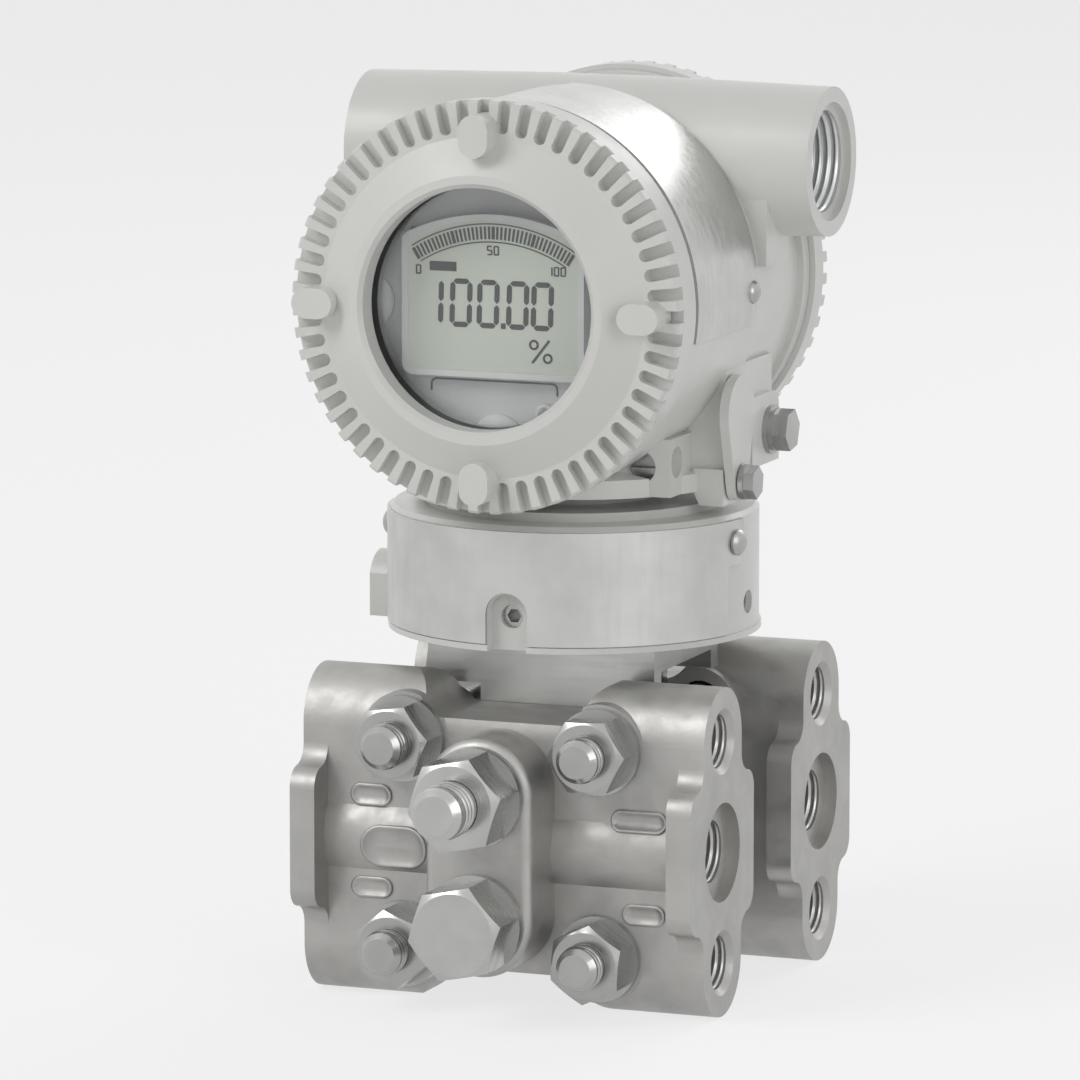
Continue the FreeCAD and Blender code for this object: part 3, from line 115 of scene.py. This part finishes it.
def axisFrame(direction):
    # two directions square to the axis, and the axis itself
    axis = np.array(direction, float)
    side = np.cross(axis, [0.0, 0.0, 1.0] if abs(axis[2]) < 0.9 else [1.0, 0.0, 0.0])
    side /= np.linalg.norm(side)
    return side, np.cross(axis, side), axis


def aroundAxis(origin, direction, radius, along, angle):
    # point = origin + axis * along + radius * (side cos + up sin)
    side, up, axis = axisFrame(direction)
    turned = np.cos(angle)[..., None] * side + np.sin(angle)[..., None] * up
    return np.array(origin) + along[..., None] * axis + radius[..., None] * turned


def threadPart(origin, direction, length, radius, pitch, height, inside=False):
    # the radius swings by a flat-topped triangle wave of (distance / pitch - turn), fading at both ends;
    # inside a hole the ridges stand in from the wall, and a hidden back wall closes the shell
    rows = int(length / pitch * 8) + 1
    columns = 72 if radius > 6 else 48
    along, angle = np.meshgrid(np.linspace(0, length, rows), np.arange(columns) * tau / columns, indexing="ij")
    phase = (along / pitch - angle / tau) % 1.0
    ridge = np.clip(1.7 * (1 - np.abs(2 * phase - 1)) - 0.35, 0, 1)
    fade = np.clip(np.minimum(along, length - along) / pitch, 0, 1)
    sunk = 0.08
    swing = (height + sunk) * ridge * fade - sunk
    if not inside:
        return gridPart(aroundAxis(origin, direction, radius + swing, along, angle))
    front = aroundAxis(origin, direction, radius - swing, along, angle)
    back = aroundAxis(origin, direction, np.full_like(along, radius + 0.5), along, angle)
    return gridPart(np.concatenate([front, back[::-1]]), closedAlong=True)


def turnedPart(origin, direction, profile, columns=48):
    # a profile of (radius, distance along the axis) turned about the axis
    radius, along = np.array(profile, float).T
    angle = np.arange(columns) * tau / columns
    shape = (len(radius), columns)
    return gridPart(aroundAxis(origin, direction, np.broadcast_to(radius[:, None], shape),
                               np.broadcast_to(along[:, None], shape), np.broadcast_to(angle, shape)))


def barPart(path, halfWidth, front, back, closed=False):
    # a flat bar in the XZ plane: its four-cornered section is carried along the path, square to it
    path = np.array(path, float)
    halfWidth = np.broadcast_to(np.array(halfWidth, float), len(path))
    if closed:
        tangent = np.roll(path, -1, 0) - np.roll(path, 1, 0)
    else:
        tangent = np.gradient(path, axis=0)
    tangent /= np.linalg.norm(tangent, axis=1)[:, None]
    normal = np.stack([-tangent[:, 1], tangent[:, 0]], -1) * halfWidth[:, None]
    left, right = path + normal, path - normal
    corners = [(left, front), (right, front), (right, back), (left, back)]
    grid = np.stack([np.stack([edge[:, 0], np.full(len(path), y), edge[:, 1]], -1) for edge, y in corners], 1)
    return gridPart(grid, closedAlong=closed)


def arcPath(centre, radius, startDegrees, endDegrees, count):
    # point = centre + radius * (cos, sin) at even steps of the angle
    angle = np.radians(np.linspace(startDegrees, endDegrees, count))
    return np.stack([centre[0] + radius * np.cos(angle), centre[1] + radius * np.sin(angle)], -1)


print("shapes ready")


def newFinish(name, colour, metal, rough):
    material = bpy.data.materials.new(name)
    material.use_nodes = True
    tree = material.node_tree
    shader = tree.nodes["Principled BSDF"]
    shader.inputs["Base Color"].default_value = (*colour, 1)
    shader.inputs["Metallic"].default_value = metal
    shader.inputs["Roughness"].default_value = rough
    return material, tree, shader


def patternOf(tree, scale, detail=3.0, stretch=(1, 1, 1)):
    # noise on object coordinates; scale is in waves per metre, stretch draws it out along an axis
    place = tree.nodes.new("ShaderNodeTexCoord")
    mapping = tree.nodes.new("ShaderNodeMapping")
    mapping.inputs["Scale"].default_value = stretch
    noise = tree.nodes.new("ShaderNodeTexNoise")
    noise.inputs["Scale"].default_value = scale
    noise.inputs["Detail"].default_value = detail
    tree.links.new(place.outputs["Object"], mapping.inputs["Vector"])
    tree.links.new(mapping.outputs["Vector"], noise.inputs["Vector"])
    return noise.outputs["Fac"]


def spread(tree, pattern, low, high, start=0.35, end=0.65):
    # the pattern stretched between two values
    ramp = tree.nodes.new("ShaderNodeMapRange")
    for socket, value in (("From Min", start), ("From Max", end), ("To Min", low), ("To Max", high)):
        ramp.inputs[socket].default_value = value
    tree.links.new(pattern, ramp.inputs["Value"])
    return ramp.outputs["Result"]


def tint(tree, shader, pattern, colour, otherColour):
    mix = tree.nodes.new("ShaderNodeMix")
    mix.data_type = "RGBA"
    mix.inputs[6].default_value = (*colour, 1)
    mix.inputs[7].default_value = (*otherColour, 1)
    tree.links.new(spread(tree, pattern, 0, 1), mix.inputs[0])
    tree.links.new(mix.outputs[2], shader.inputs["Base Color"])


def bumpy(tree, shader, layers):
    # layers of (pattern, strength, height in metres), each on top of the one before
    previous = None
    for pattern, strength, height in layers:
        bump = tree.nodes.new("ShaderNodeBump")
        bump.inputs["Strength"].default_value = strength
        bump.inputs["Distance"].default_value = height
        tree.links.new(pattern, bump.inputs["Height"])
        if previous is not None:
            tree.links.new(previous, bump.inputs["Normal"])
        previous = bump.outputs["Normal"]
    tree.links.new(previous, shader.inputs["Normal"])


def paintFinish(name, colour):
    # baked powder paint on a casting: fine orange peel, faint mottling
    material, tree, shader = newFinish(name, colour, 0.0, 0.4)
    shader.inputs["Coat Weight"].default_value = 0.25
    shader.inputs["Coat Roughness"].default_value = 0.22
    mottle = patternOf(tree, 45, 4)
    tint(tree, shader, mottle, colour, tuple(0.965 * part for part in colour))
    tree.links.new(spread(tree, patternOf(tree, 160, 2), 0.34, 0.46), shader.inputs["Roughness"])
    bumpy(tree, shader, [(patternOf(tree, 1100, 2), 0.22, 0.00006), (patternOf(tree, 190, 2), 0.12, 0.00015)])
    return material


def castFinish(name, colour):
    # bead-blasted cast stainless steel: coarse skin, fine grain, slight patches
    material, tree, shader = newFinish(name, colour, 0.82, 0.5)
    tint(tree, shader, patternOf(tree, 70, 5), colour, tuple(0.88 * part for part in colour))
    tree.links.new(spread(tree, patternOf(tree, 240, 4), 0.42, 0.58), shader.inputs["Roughness"])
    bumpy(tree, shader, [(patternOf(tree, 900, 4), 0.35, 0.00010), (patternOf(tree, 210, 3), 0.25, 0.00030)])
    return material


def turnedFinish(name, colour, rough, stretch):
    # machined steel: tool marks run round the axis, so the noise is drawn out across it
    material, tree, shader = newFinish(name, colour, 1.0, rough)
    marks = patternOf(tree, 60, 3, stretch)
    tint(tree, shader, patternOf(tree, 120, 4), colour, tuple(0.9 * part for part in colour))
    tree.links.new(spread(tree, marks, rough - 0.06, rough + 0.08), shader.inputs["Roughness"])
    bumpy(tree, shader, [(marks, 0.12, 0.00006)])
    return material


def mouldedFinish(name, colour, rough):
    # moulded plastic with a fine spark-eroded grain
    material, tree, shader = newFinish(name, colour, 0.0, rough)
    tint(tree, shader, patternOf(tree, 90, 3), colour, tuple(0.94 * part for part in colour))
    bumpy(tree, shader, [(patternOf(tree, 1600, 2), 0.15, 0.00005)])
    return material


def cellFinish(name, colour):
    # liquid crystal cell: smooth polariser over a faintly cloudy backing
    material, tree, shader = newFinish(name, colour, 0.0, 0.22)
    shader.inputs["Specular IOR Level"].default_value = 0.35
    tint(tree, shader, patternOf(tree, 28, 2), colour, tuple(0.97 * part for part in colour))
    return material


def glassFinish(name):
    # toughened glass: clear, lets the lamps through to the display
    material, tree, shader = newFinish(name, (1.0, 1.0, 1.0), 0.0, 0.02)
    shader.inputs["Transmission Weight"].default_value = 1.0
    shader.inputs["IOR"].default_value = 1.5
    clear = tree.nodes.new("ShaderNodeBsdfTransparent")
    clear.inputs["Color"].default_value = (0.96, 0.97, 0.97, 1)
    path = tree.nodes.new("ShaderNodeLightPath")
    anyOf = tree.nodes.new("ShaderNodeMath")
    anyOf.operation = "MAXIMUM"
    mix = tree.nodes.new("ShaderNodeMixShader")
    tree.links.new(path.outputs["Is Shadow Ray"], anyOf.inputs[0])
    tree.links.new(path.outputs["Is Diffuse Ray"], anyOf.inputs[1])
    tree.links.new(anyOf.outputs[0], mix.inputs[0])
    tree.links.new(shader.outputs[0], mix.inputs[1])
    tree.links.new(clear.outputs[0], mix.inputs[2])
    tree.links.new(mix.outputs[0], tree.nodes["Material Output"].inputs["Surface"])
    return material


finishes = {
    "flange": castFinish("castStainless", (0.47, 0.465, 0.45)),
    "capsule": turnedFinish("milledStainless", (0.52, 0.52, 0.51), 0.34, (1, 1, 14)),
    "gasket": mouldedFinish("fluoropolymer", (0.86, 0.86, 0.84), 0.45),
    "diaphragm": turnedFinish("rolledAlloy", (0.66, 0.66, 0.65), 0.25, (1, 1, 1)),
    "bolt": turnedFinish("boltSteel", (0.42, 0.42, 0.415), 0.27, (1, 18, 1)),
    "plug": turnedFinish("plugSteel", (0.50, 0.50, 0.49), 0.24, (1, 18, 1)),
    "casting": paintFinish("housingPaint", (0.72, 0.72, 0.695)),
    "plate": turnedFinish("plateSteel", (0.58, 0.58, 0.57), 0.34, (14, 14, 1)),
    "screw": turnedFinish("screwSteel", (0.44, 0.44, 0.435), 0.3, (14, 1, 1)),
    "module": mouldedFinish("bezelPlastic", (0.70, 0.71, 0.70), 0.5),
    "lcd": cellFinish("crystalCell", (0.62, 0.66, 0.58)),
    "board": mouldedFinish("solderMask", (0.05, 0.20, 0.10), 0.35),
    "potting": mouldedFinish("moduleCase", (0.05, 0.05, 0.055), 0.5),
    "terminal": mouldedFinish("terminalPlastic", (0.06, 0.06, 0.065), 0.45),
    "brass": turnedFinish("nickelledBrass", (0.70, 0.58, 0.36), 0.28, (1, 1, 1)),
    "seal": mouldedFinish("sealRubber", (0.02, 0.02, 0.02), 0.6),
    "window": glassFinish("toughenedGlass"),
    "retainer": turnedFinish("turnedAluminium", (0.66, 0.67, 0.68), 0.35, (1, 18, 1)),
}
ink = mouldedFinish("displayInk", (0.03, 0.032, 0.035), 0.35)
print("finishes ready:", len(finishes))

for part in frame["record"]["subparts"]:
    for materialSlot in nodes[part["node"]].material_slots:
        materialSlot.material = finishes[part["material_slot"]]
print("finishes on", len(nodes), "nodes")

studThread = {"pitch": 1.25, "height": 0.28, "spacing": 38.5, "radius": 4.0, "clear": 0.15, "chamfer": 0.9}
nutLow, nutHigh = nodeBox("clamp_nuts")
boltLow, boltHigh = nodeBox("clamp_bolts")
portHeight = mounts["process_port_front"]["pos_m"][2] / mm
studStart = nutLow[1] - studThread["clear"]
studEnd = boltLow[1] + studThread["chamfer"]
aside = studThread["spacing"] / 2
studs = [threadPart((x, studStart, portHeight + z), (0, -1, 0), studStart - studEnd, studThread["radius"],
                    studThread["pitch"], studThread["height"])
         for x in (aside, -aside) for z in (aside, -aside)]
makePiece("studThreads", studs, "stand", finishes["bolt"])

ventThread = {"pitch": 1.5, "height": 0.3, "taper": 2.2, "clear": 0.3}
for name, sign in (("front", -1), ("rear", 1)):
    low, high = nodeBox("vent_screw_" + name)
    outerEnd = 0 if sign < 0 else 1  # the low Y end at the front, the high one at the rear
    start = nodeBox("vent_plugs")[outerEnd][1] + sign * ventThread["clear"]
    tip = (low, high)[outerEnd][1]
    middle = (low + high) / 2
    length = abs(tip - start) - ventThread["taper"]
    part = threadPart((middle[0], start, middle[2]), (0, sign, 0), length, (high[0] - low[0]) / 2,
                      ventThread["pitch"], ventThread["height"])
    makePiece("ventThread" + name.capitalize(), [part], "vent_screw_" + name, finishes["plug"])

holeThread = {"pitch": 1.3, "height": 0.42, "clear": 0.1, "short": 0.4}
conduitThread = {"pitch": 1.6, "height": 0.55}
for name, mount in mounts.items():
    place = np.array(mount["pos_m"]) / mm
    inwards = -np.array(mount["axis"])
    conduit = name.startswith("conduit")
    body, slotName = ("housing", "casting") if conduit else ("stand", "flange")
    cut = conduitThread if conduit else holeThread
    finish = finishes["retainer"] if conduit else finishes["capsule"]
    length = mount["dims"]["length_mm"] - holeThread["short"]
    part = threadPart(place + inwards * holeThread["clear"], inwards, length,
                      mount["dims"]["r_mm"], cut["pitch"], cut["height"], inside=True)
    makePiece(name + "_thread", [part], body, finish)
print("threads ready")


display = {"front": -39.4, "back": -36.5, "half": 17.2, "low": 118.7, "side": 143.4, "archRadius": 38.0,
           "corner": 1.6, "middle": 131.5, "taper": 0.99, "rimHalf": 0.55, "rimRise": 0.45,
           "inkRise": 0.1, "inkSunk": 0.05}
archMiddle = display["side"] - math.sqrt(display["archRadius"] ** 2 - display["half"] ** 2)
archEdge = math.degrees(math.acos(display["half"] / display["archRadius"]))

# window with two round lower corners, quarter turns of one radius, and an arched top
side, corner = display["half"] - display["corner"], display["low"] + display["corner"]
windowOutline = np.vstack([
    arcPath((-side, corner), display["corner"], 180, 270, 7),
    arcPath((side, corner), display["corner"], 270, 360, 7),
    arcPath((0, archMiddle), display["archRadius"], archEdge, 180 - archEdge, 33)])


def windowRing(share, y):
    # the outline drawn in towards the window's middle by a share
    height = display["middle"] + (windowOutline[:, 1] - display["middle"]) * share
    return np.stack([windowOutline[:, 0] * share, np.full(len(windowOutline), y), height], -1)


face = np.stack([windowRing(display["taper"], display["back"]), windowRing(1.0, display["front"]),
                 windowRing(0.5, display["front"])])
makePiece("displayWindow", [gridPart(face)], "housing", finishes["lcd"], smooth=False)
rimFront = display["front"] - display["rimRise"]
rim = barPart(windowOutline, display["rimHalf"], rimFront, display["back"], closed=True)
makePiece("displayRim", [rim], "housing", finishes["module"], smooth=False)

inkFront = display["front"] - display["inkRise"]
inkBack = display["front"] + display["inkSunk"]


def inkBar(path, halfWidth, closed=False):
    # a dark stroke that lies on the window's face
    return barPart(path, halfWidth, inkFront, inkBack, closed)


digit = {"width": 3.36, "height": 7.9, "stroke": 0.48, "gap": 0.16, "low": 127.7, "slant": 0.03,
         "tip": 0.05, "starts": (-13.7, -8.1, -2.8, 2.95, 7.75),
         "point": {"across": 1.95, "below": 0.45, "above": 0.55, "half": 0.45}}
segments = {"a": ((0, 2), (1, 2)), "b": ((1, 2), (1, 1)), "c": ((1, 1), (1, 0)), "d": ((1, 0), (0, 0)),
            "e": ((0, 0), (0, 1)), "f": ((0, 1), (0, 2)), "g": ((0, 1), (1, 1))}
lit = {"0": "abcdef", "1": "bc", "5": "afgcd"}


def digitBars(figure, left):
    # each segment is a bar with pointed ends between two corners of the figure's grid
    bars = []
    for letter in lit[figure]:
        ends = np.array(segments[letter], float) * [digit["width"], digit["height"] / 2]
        run = (ends[1] - ends[0]) / np.linalg.norm(ends[1] - ends[0])
        reach = digit["gap"] + digit["stroke"]
        path = np.array([ends[0] + run * digit["gap"], ends[0] + run * reach,
                         ends[1] - run * reach, ends[1] - run * digit["gap"]])
        path[:, 0] += left + path[:, 1] * digit["slant"]
        path[:, 1] += digit["low"]
        bars.append(inkBar(path, [digit["tip"], digit["stroke"], digit["stroke"], digit["tip"]]))
    return bars


marks = []
for figure, left in zip("10000", digit["starts"]):
    marks += digitBars(figure, left)
point = digit["point"]
marks.append(inkBar([(point["across"], digit["low"] - point["below"]),
                     (point["across"], digit["low"] + point["above"])], point["half"]))

scale = {"radius": 30.0, "middle": 116.3, "from": 122.0, "to": 58.0, "bars": 40, "depth": 2.3, "gap": 0.5,
         "line": 0.11, "bar": 0.2, "everyTenth": 0.3}
for edge in (0.0, scale["depth"] + 2 * scale["gap"]):
    marks.append(inkBar(arcPath((0, scale["middle"]), scale["radius"] - edge, scale["from"], scale["to"], 41),
                        scale["line"]))
for count, angle in enumerate(np.radians(np.linspace(scale["from"], scale["to"], scale["bars"] + 1))):
    outer = scale["radius"] - scale["gap"]
    inner = outer - scale["depth"]
    way = np.array([math.cos(angle), math.sin(angle)])
    marks.append(inkBar([way * outer + [0, scale["middle"]], way * inner + [0, scale["middle"]]],
                        scale["bar"] if count % 10 else scale["everyTenth"]))
small = {"stroke": 0.13, "height": 1.5, "width": 0.8, "step": 1.3,
         "numbers": (("0", -15.0, 136.7), ("50", -1.1, 140.7), ("100", 10.6, 137.4))}


def smallFigure(figure, x, z):
    # plain scale numbers drawn with the same seven bars, without the pointed ends
    grid = np.array([small["width"], small["height"] / 2])
    return [inkBar(np.array(segments[letter], float) * grid + [x, z], small["stroke"])
            for letter in lit[figure]]


for number, x, z in small["numbers"]:
    for place, figure in enumerate(number):
        marks += smallFigure(figure, x + place * small["step"], z)
legend = {"status": ((-12.4, 138.2), (-7.2, 138.2)), "statusHalf": 0.85,
          "slash": ((7.6, 121.3), (10.9, 125.5)), "slashHalf": 0.22,
          "rings": ((7.9, 124.6), (10.6, 122.2)), "ringRadius": 0.75, "ringHalf": 0.2}
marks.append(inkBar(legend["status"], legend["statusHalf"]))  # plain status bar
marks.append(inkBar(legend["slash"], legend["slashHalf"]))  # per cent sign, with its two rings
for ring in legend["rings"]:
    marks.append(inkBar(arcPath(ring, legend["ringRadius"], 0, 345, 24), legend["ringHalf"], closed=True))
makePiece("displayMarks", marks, "housing", ink, smooth=False)

bracket = {"left": -13.2, "right": 11.4, "top": 117.2, "leg": 2.2, "corner": 1.0, "half": 0.16,
           "front": -36.75, "back": -36.55}
bend = bracket["corner"]
bracketLine = np.vstack([
    [(bracket["left"], bracket["top"] - bracket["leg"])],
    arcPath((bracket["left"] + bend, bracket["top"] - bend), bend, 180, 90, 7),
    arcPath((bracket["right"] - bend, bracket["top"] - bend), bend, 90, 0, 7),
    [(bracket["right"], bracket["top"] - bracket["leg"])]])
makePiece("displayBracket", [barPart(bracketLine, bracket["half"], bracket["front"], bracket["back"])],
          "housing", ink, smooth=False)

pad = {"radius": 5.2, "rise": 1.0, "edge": 0.7, "bevel": 0.4, "sunkY": -36.5,
       "places": ((-25.6, 131.0), (0.0, 106.0)), "boss": (9.2, 111.6),
       "bossProfile": ((2.0, 0), (2.0, 0.6), (1.7, 0.9), (1.2, 0.9), (1.0, 0.5))}
padProfile = [(pad["radius"], 0), (pad["radius"], pad["edge"]), (pad["radius"] - pad["bevel"], pad["rise"])]
pads = [turnedPart((x, pad["sunkY"], z), (0, -1, 0), padProfile, 64) for x, z in pad["places"]]
pads.append(turnedPart((pad["boss"][0], pad["sunkY"], pad["boss"][1]), (0, -1, 0), pad["bossProfile"]))
makePiece("displayPads", pads, "housing", finishes["module"])
print("display ready")

# bare raised ovals on the flanges' outer faces
oval = {"rim": 0.55, "rise": 0.5, "edge": 0.35, "bevel": 0.2, "floor": 0.15, "sunk": 0.3, "reach": 0.9,
        "face": 37.0, "bandHalf": 6.0, "bandRise": 2.0}
ovalSpots = ((-25.9, 8.1, 4.1, 2.1), (-20.7, -1.2, 6.6, 4.1), (-25.8, -9.3, 4.1, 2.0),
             (27.0, 6.7, 5.5, 2.0), (27.9, -10.7, 4.2, 2.0))  # middle X, height over the port, half sizes


def flangeFace(z):
    # flat wing face with a low round band across its middle: an arc through the band's edges and crown
    bandRadius = (oval["bandHalf"] ** 2 + oval["bandRise"] ** 2) / (2 * oval["bandRise"])
    inside = np.clip(bandRadius ** 2 - z ** 2, 0, None)
    return oval["face"] + np.clip(np.sqrt(inside) - bandRadius + oval["bandRise"], 0, None)


def ovalPart(x, z, halfLong, halfHigh, side):
    # rings of one stadium outline, each set in a little further, lifted off the casting's face
    angle = np.arange(72) * tau / 72
    profile = ((0, -oval["sunk"]), (0, oval["edge"]),
               (oval["bevel"], oval["rise"]), (oval["rim"], oval["rise"]),
               (oval["rim"] + oval["bevel"], oval["floor"]), (halfHigh * oval["reach"], oval["floor"]))
    rings = []
    for inset, lift in profile:
        radius = halfHigh - inset
        across = x + np.sign(np.cos(angle)) * (halfLong - halfHigh) + radius * np.cos(angle)
        height = z + radius * np.sin(angle)
        rings.append(np.stack([across * -side, side * (flangeFace(height) + lift), portHeight + height], -1))
    return gridPart(np.array(rings))


for name, side in (("Front", -1), ("Rear", 1)):
    makePiece("bareOvals" + name, [ovalPart(*spot, side) for spot in ovalSpots],
              "stand", finishes["flange"])
print("ovals ready")


driveScrew = {"place": (36.3, -4.0, 131.2), "radius": 2.2, "dome": 1.35, "edge": 0.35, "sunk": 0.3}
turn = np.radians(np.linspace(0, 80, 9))
dome = np.stack([driveScrew["radius"] * np.cos(turn),
                 driveScrew["dome"] * np.sin(turn) + driveScrew["edge"]], -1)
head = turnedPart(driveScrew["place"], (1, 0, 0), [(driveScrew["radius"], -driveScrew["sunk"]), *dome], 40)
makePiece("namePlateScrew", [head], "housing", finishes["screw"])
print("name plate screw ready")


studio = {"floorHalf": 6.0, "floorColour": 0.88, "floorGlow": 0.72, "roomLight": 0.34}
mesh = bpy.data.meshes.new("floor")
reach = studio["floorHalf"]
corners = [(-reach, -reach, 0), (reach, -reach, 0), (reach, reach, 0), (-reach, reach, 0)]
mesh.from_pydata(corners, [], [(0, 1, 2, 3)])
floor = bpy.data.objects.new("floor", mesh)
bpy.context.scene.collection.objects.link(floor)
mesh.materials.append(bpy.data.materials.new("paleFloor"))


def seenRay(tree):
    # 1 for rays from the camera, and for those that gloss or glass sends on
    path = tree.nodes.new("ShaderNodeLightPath")
    total = path.outputs["Is Camera Ray"]
    for name in ("Is Glossy Ray", "Is Transmission Ray"):
        higher = tree.nodes.new("ShaderNodeMath")
        higher.operation = "MAXIMUM"
        tree.links.new(total, higher.inputs[0])
        tree.links.new(path.outputs[name], higher.inputs[1])
        total = higher.outputs[0]
    return total


paleFloor = mesh.materials[0]
paleFloor.use_nodes = True
tree = paleFloor.node_tree
shader = tree.nodes["Principled BSDF"]
shader.inputs["Base Color"].default_value = (*[studio["floorColour"]] * 3, 1)
shader.inputs["Roughness"].default_value = 0.9
glow = tree.nodes.new("ShaderNodeEmission")
share = tree.nodes.new("ShaderNodeMath")
share.operation = "MULTIPLY"
share.inputs[1].default_value = studio["floorGlow"]
mix = tree.nodes.new("ShaderNodeMixShader")
tree.links.new(seenRay(tree), share.inputs[0])
tree.links.new(share.outputs[0], mix.inputs[0])
tree.links.new(shader.outputs[0], mix.inputs[1])
tree.links.new(glow.outputs[0], mix.inputs[2])
tree.links.new(mix.outputs[0], tree.nodes["Material Output"].inputs["Surface"])

world = bpy.data.worlds.new("studio")
bpy.context.scene.world = world
world.use_nodes = True
tree = world.node_tree
room = tree.nodes["Background"]
room.inputs["Color"].default_value = (1, 1, 1, 1)
room.inputs["Strength"].default_value = studio["roomLight"]
white = tree.nodes.new("ShaderNodeBackground")
white.inputs["Color"].default_value = (1, 1, 1, 1)
mix = tree.nodes.new("ShaderNodeMixShader")
tree.links.new(seenRay(tree), mix.inputs[0])
tree.links.new(room.outputs[0], mix.inputs[1])
tree.links.new(white.outputs[0], mix.inputs[2])
tree.links.new(mix.outputs[0], tree.nodes["World Output"].inputs["Surface"])

# lamps: name, place in metres, side of the square and power in watts
lamps = (("key", (-0.75, -0.9, 0.95), 0.7, 7.0),
         ("fill", (1.1, -0.7, 0.5), 0.8, 3.2),
         ("back", (0.3, 1.1, 0.9), 0.7, 4.0))
middle = (Vector(cadBounds[0]) + Vector(cadBounds[1])) / 2
for name, place, size, power in lamps:
    light = bpy.data.lights.new(name, "AREA")
    light.size = size
    light.energy = power
    lamp = bpy.data.objects.new(name, light)
    lamp.location = place
    lamp.rotation_euler = (middle - lamp.location).to_track_quat("-Z", "Y").to_euler()
    bpy.context.scene.collection.objects.link(lamp)

view = {"turn": 21.38, "rise": 8.98, "distance": 1.5, "lens": 266.97, "target": (-0.00698, 0.0, 0.08195)}
turn, rise = math.radians(view["turn"]), math.radians(view["rise"])
outward = Vector((math.sin(turn) * math.cos(rise), -math.cos(turn) * math.cos(rise), math.sin(rise)))
camera = bpy.data.objects.new("camera", bpy.data.cameras.new("camera"))
camera.data.lens = view["lens"]
camera.data.sensor_width = 36
camera.data.clip_end = 50
camera.location = Vector(view["target"]) + outward * view["distance"]
camera.rotation_euler = (-outward).to_track_quat("-Z", "Y").to_euler()
bpy.context.scene.collection.objects.link(camera)
bpy.context.scene.camera = camera
bpy.context.scene.view_settings.view_transform = "Standard"
print("stage ready")
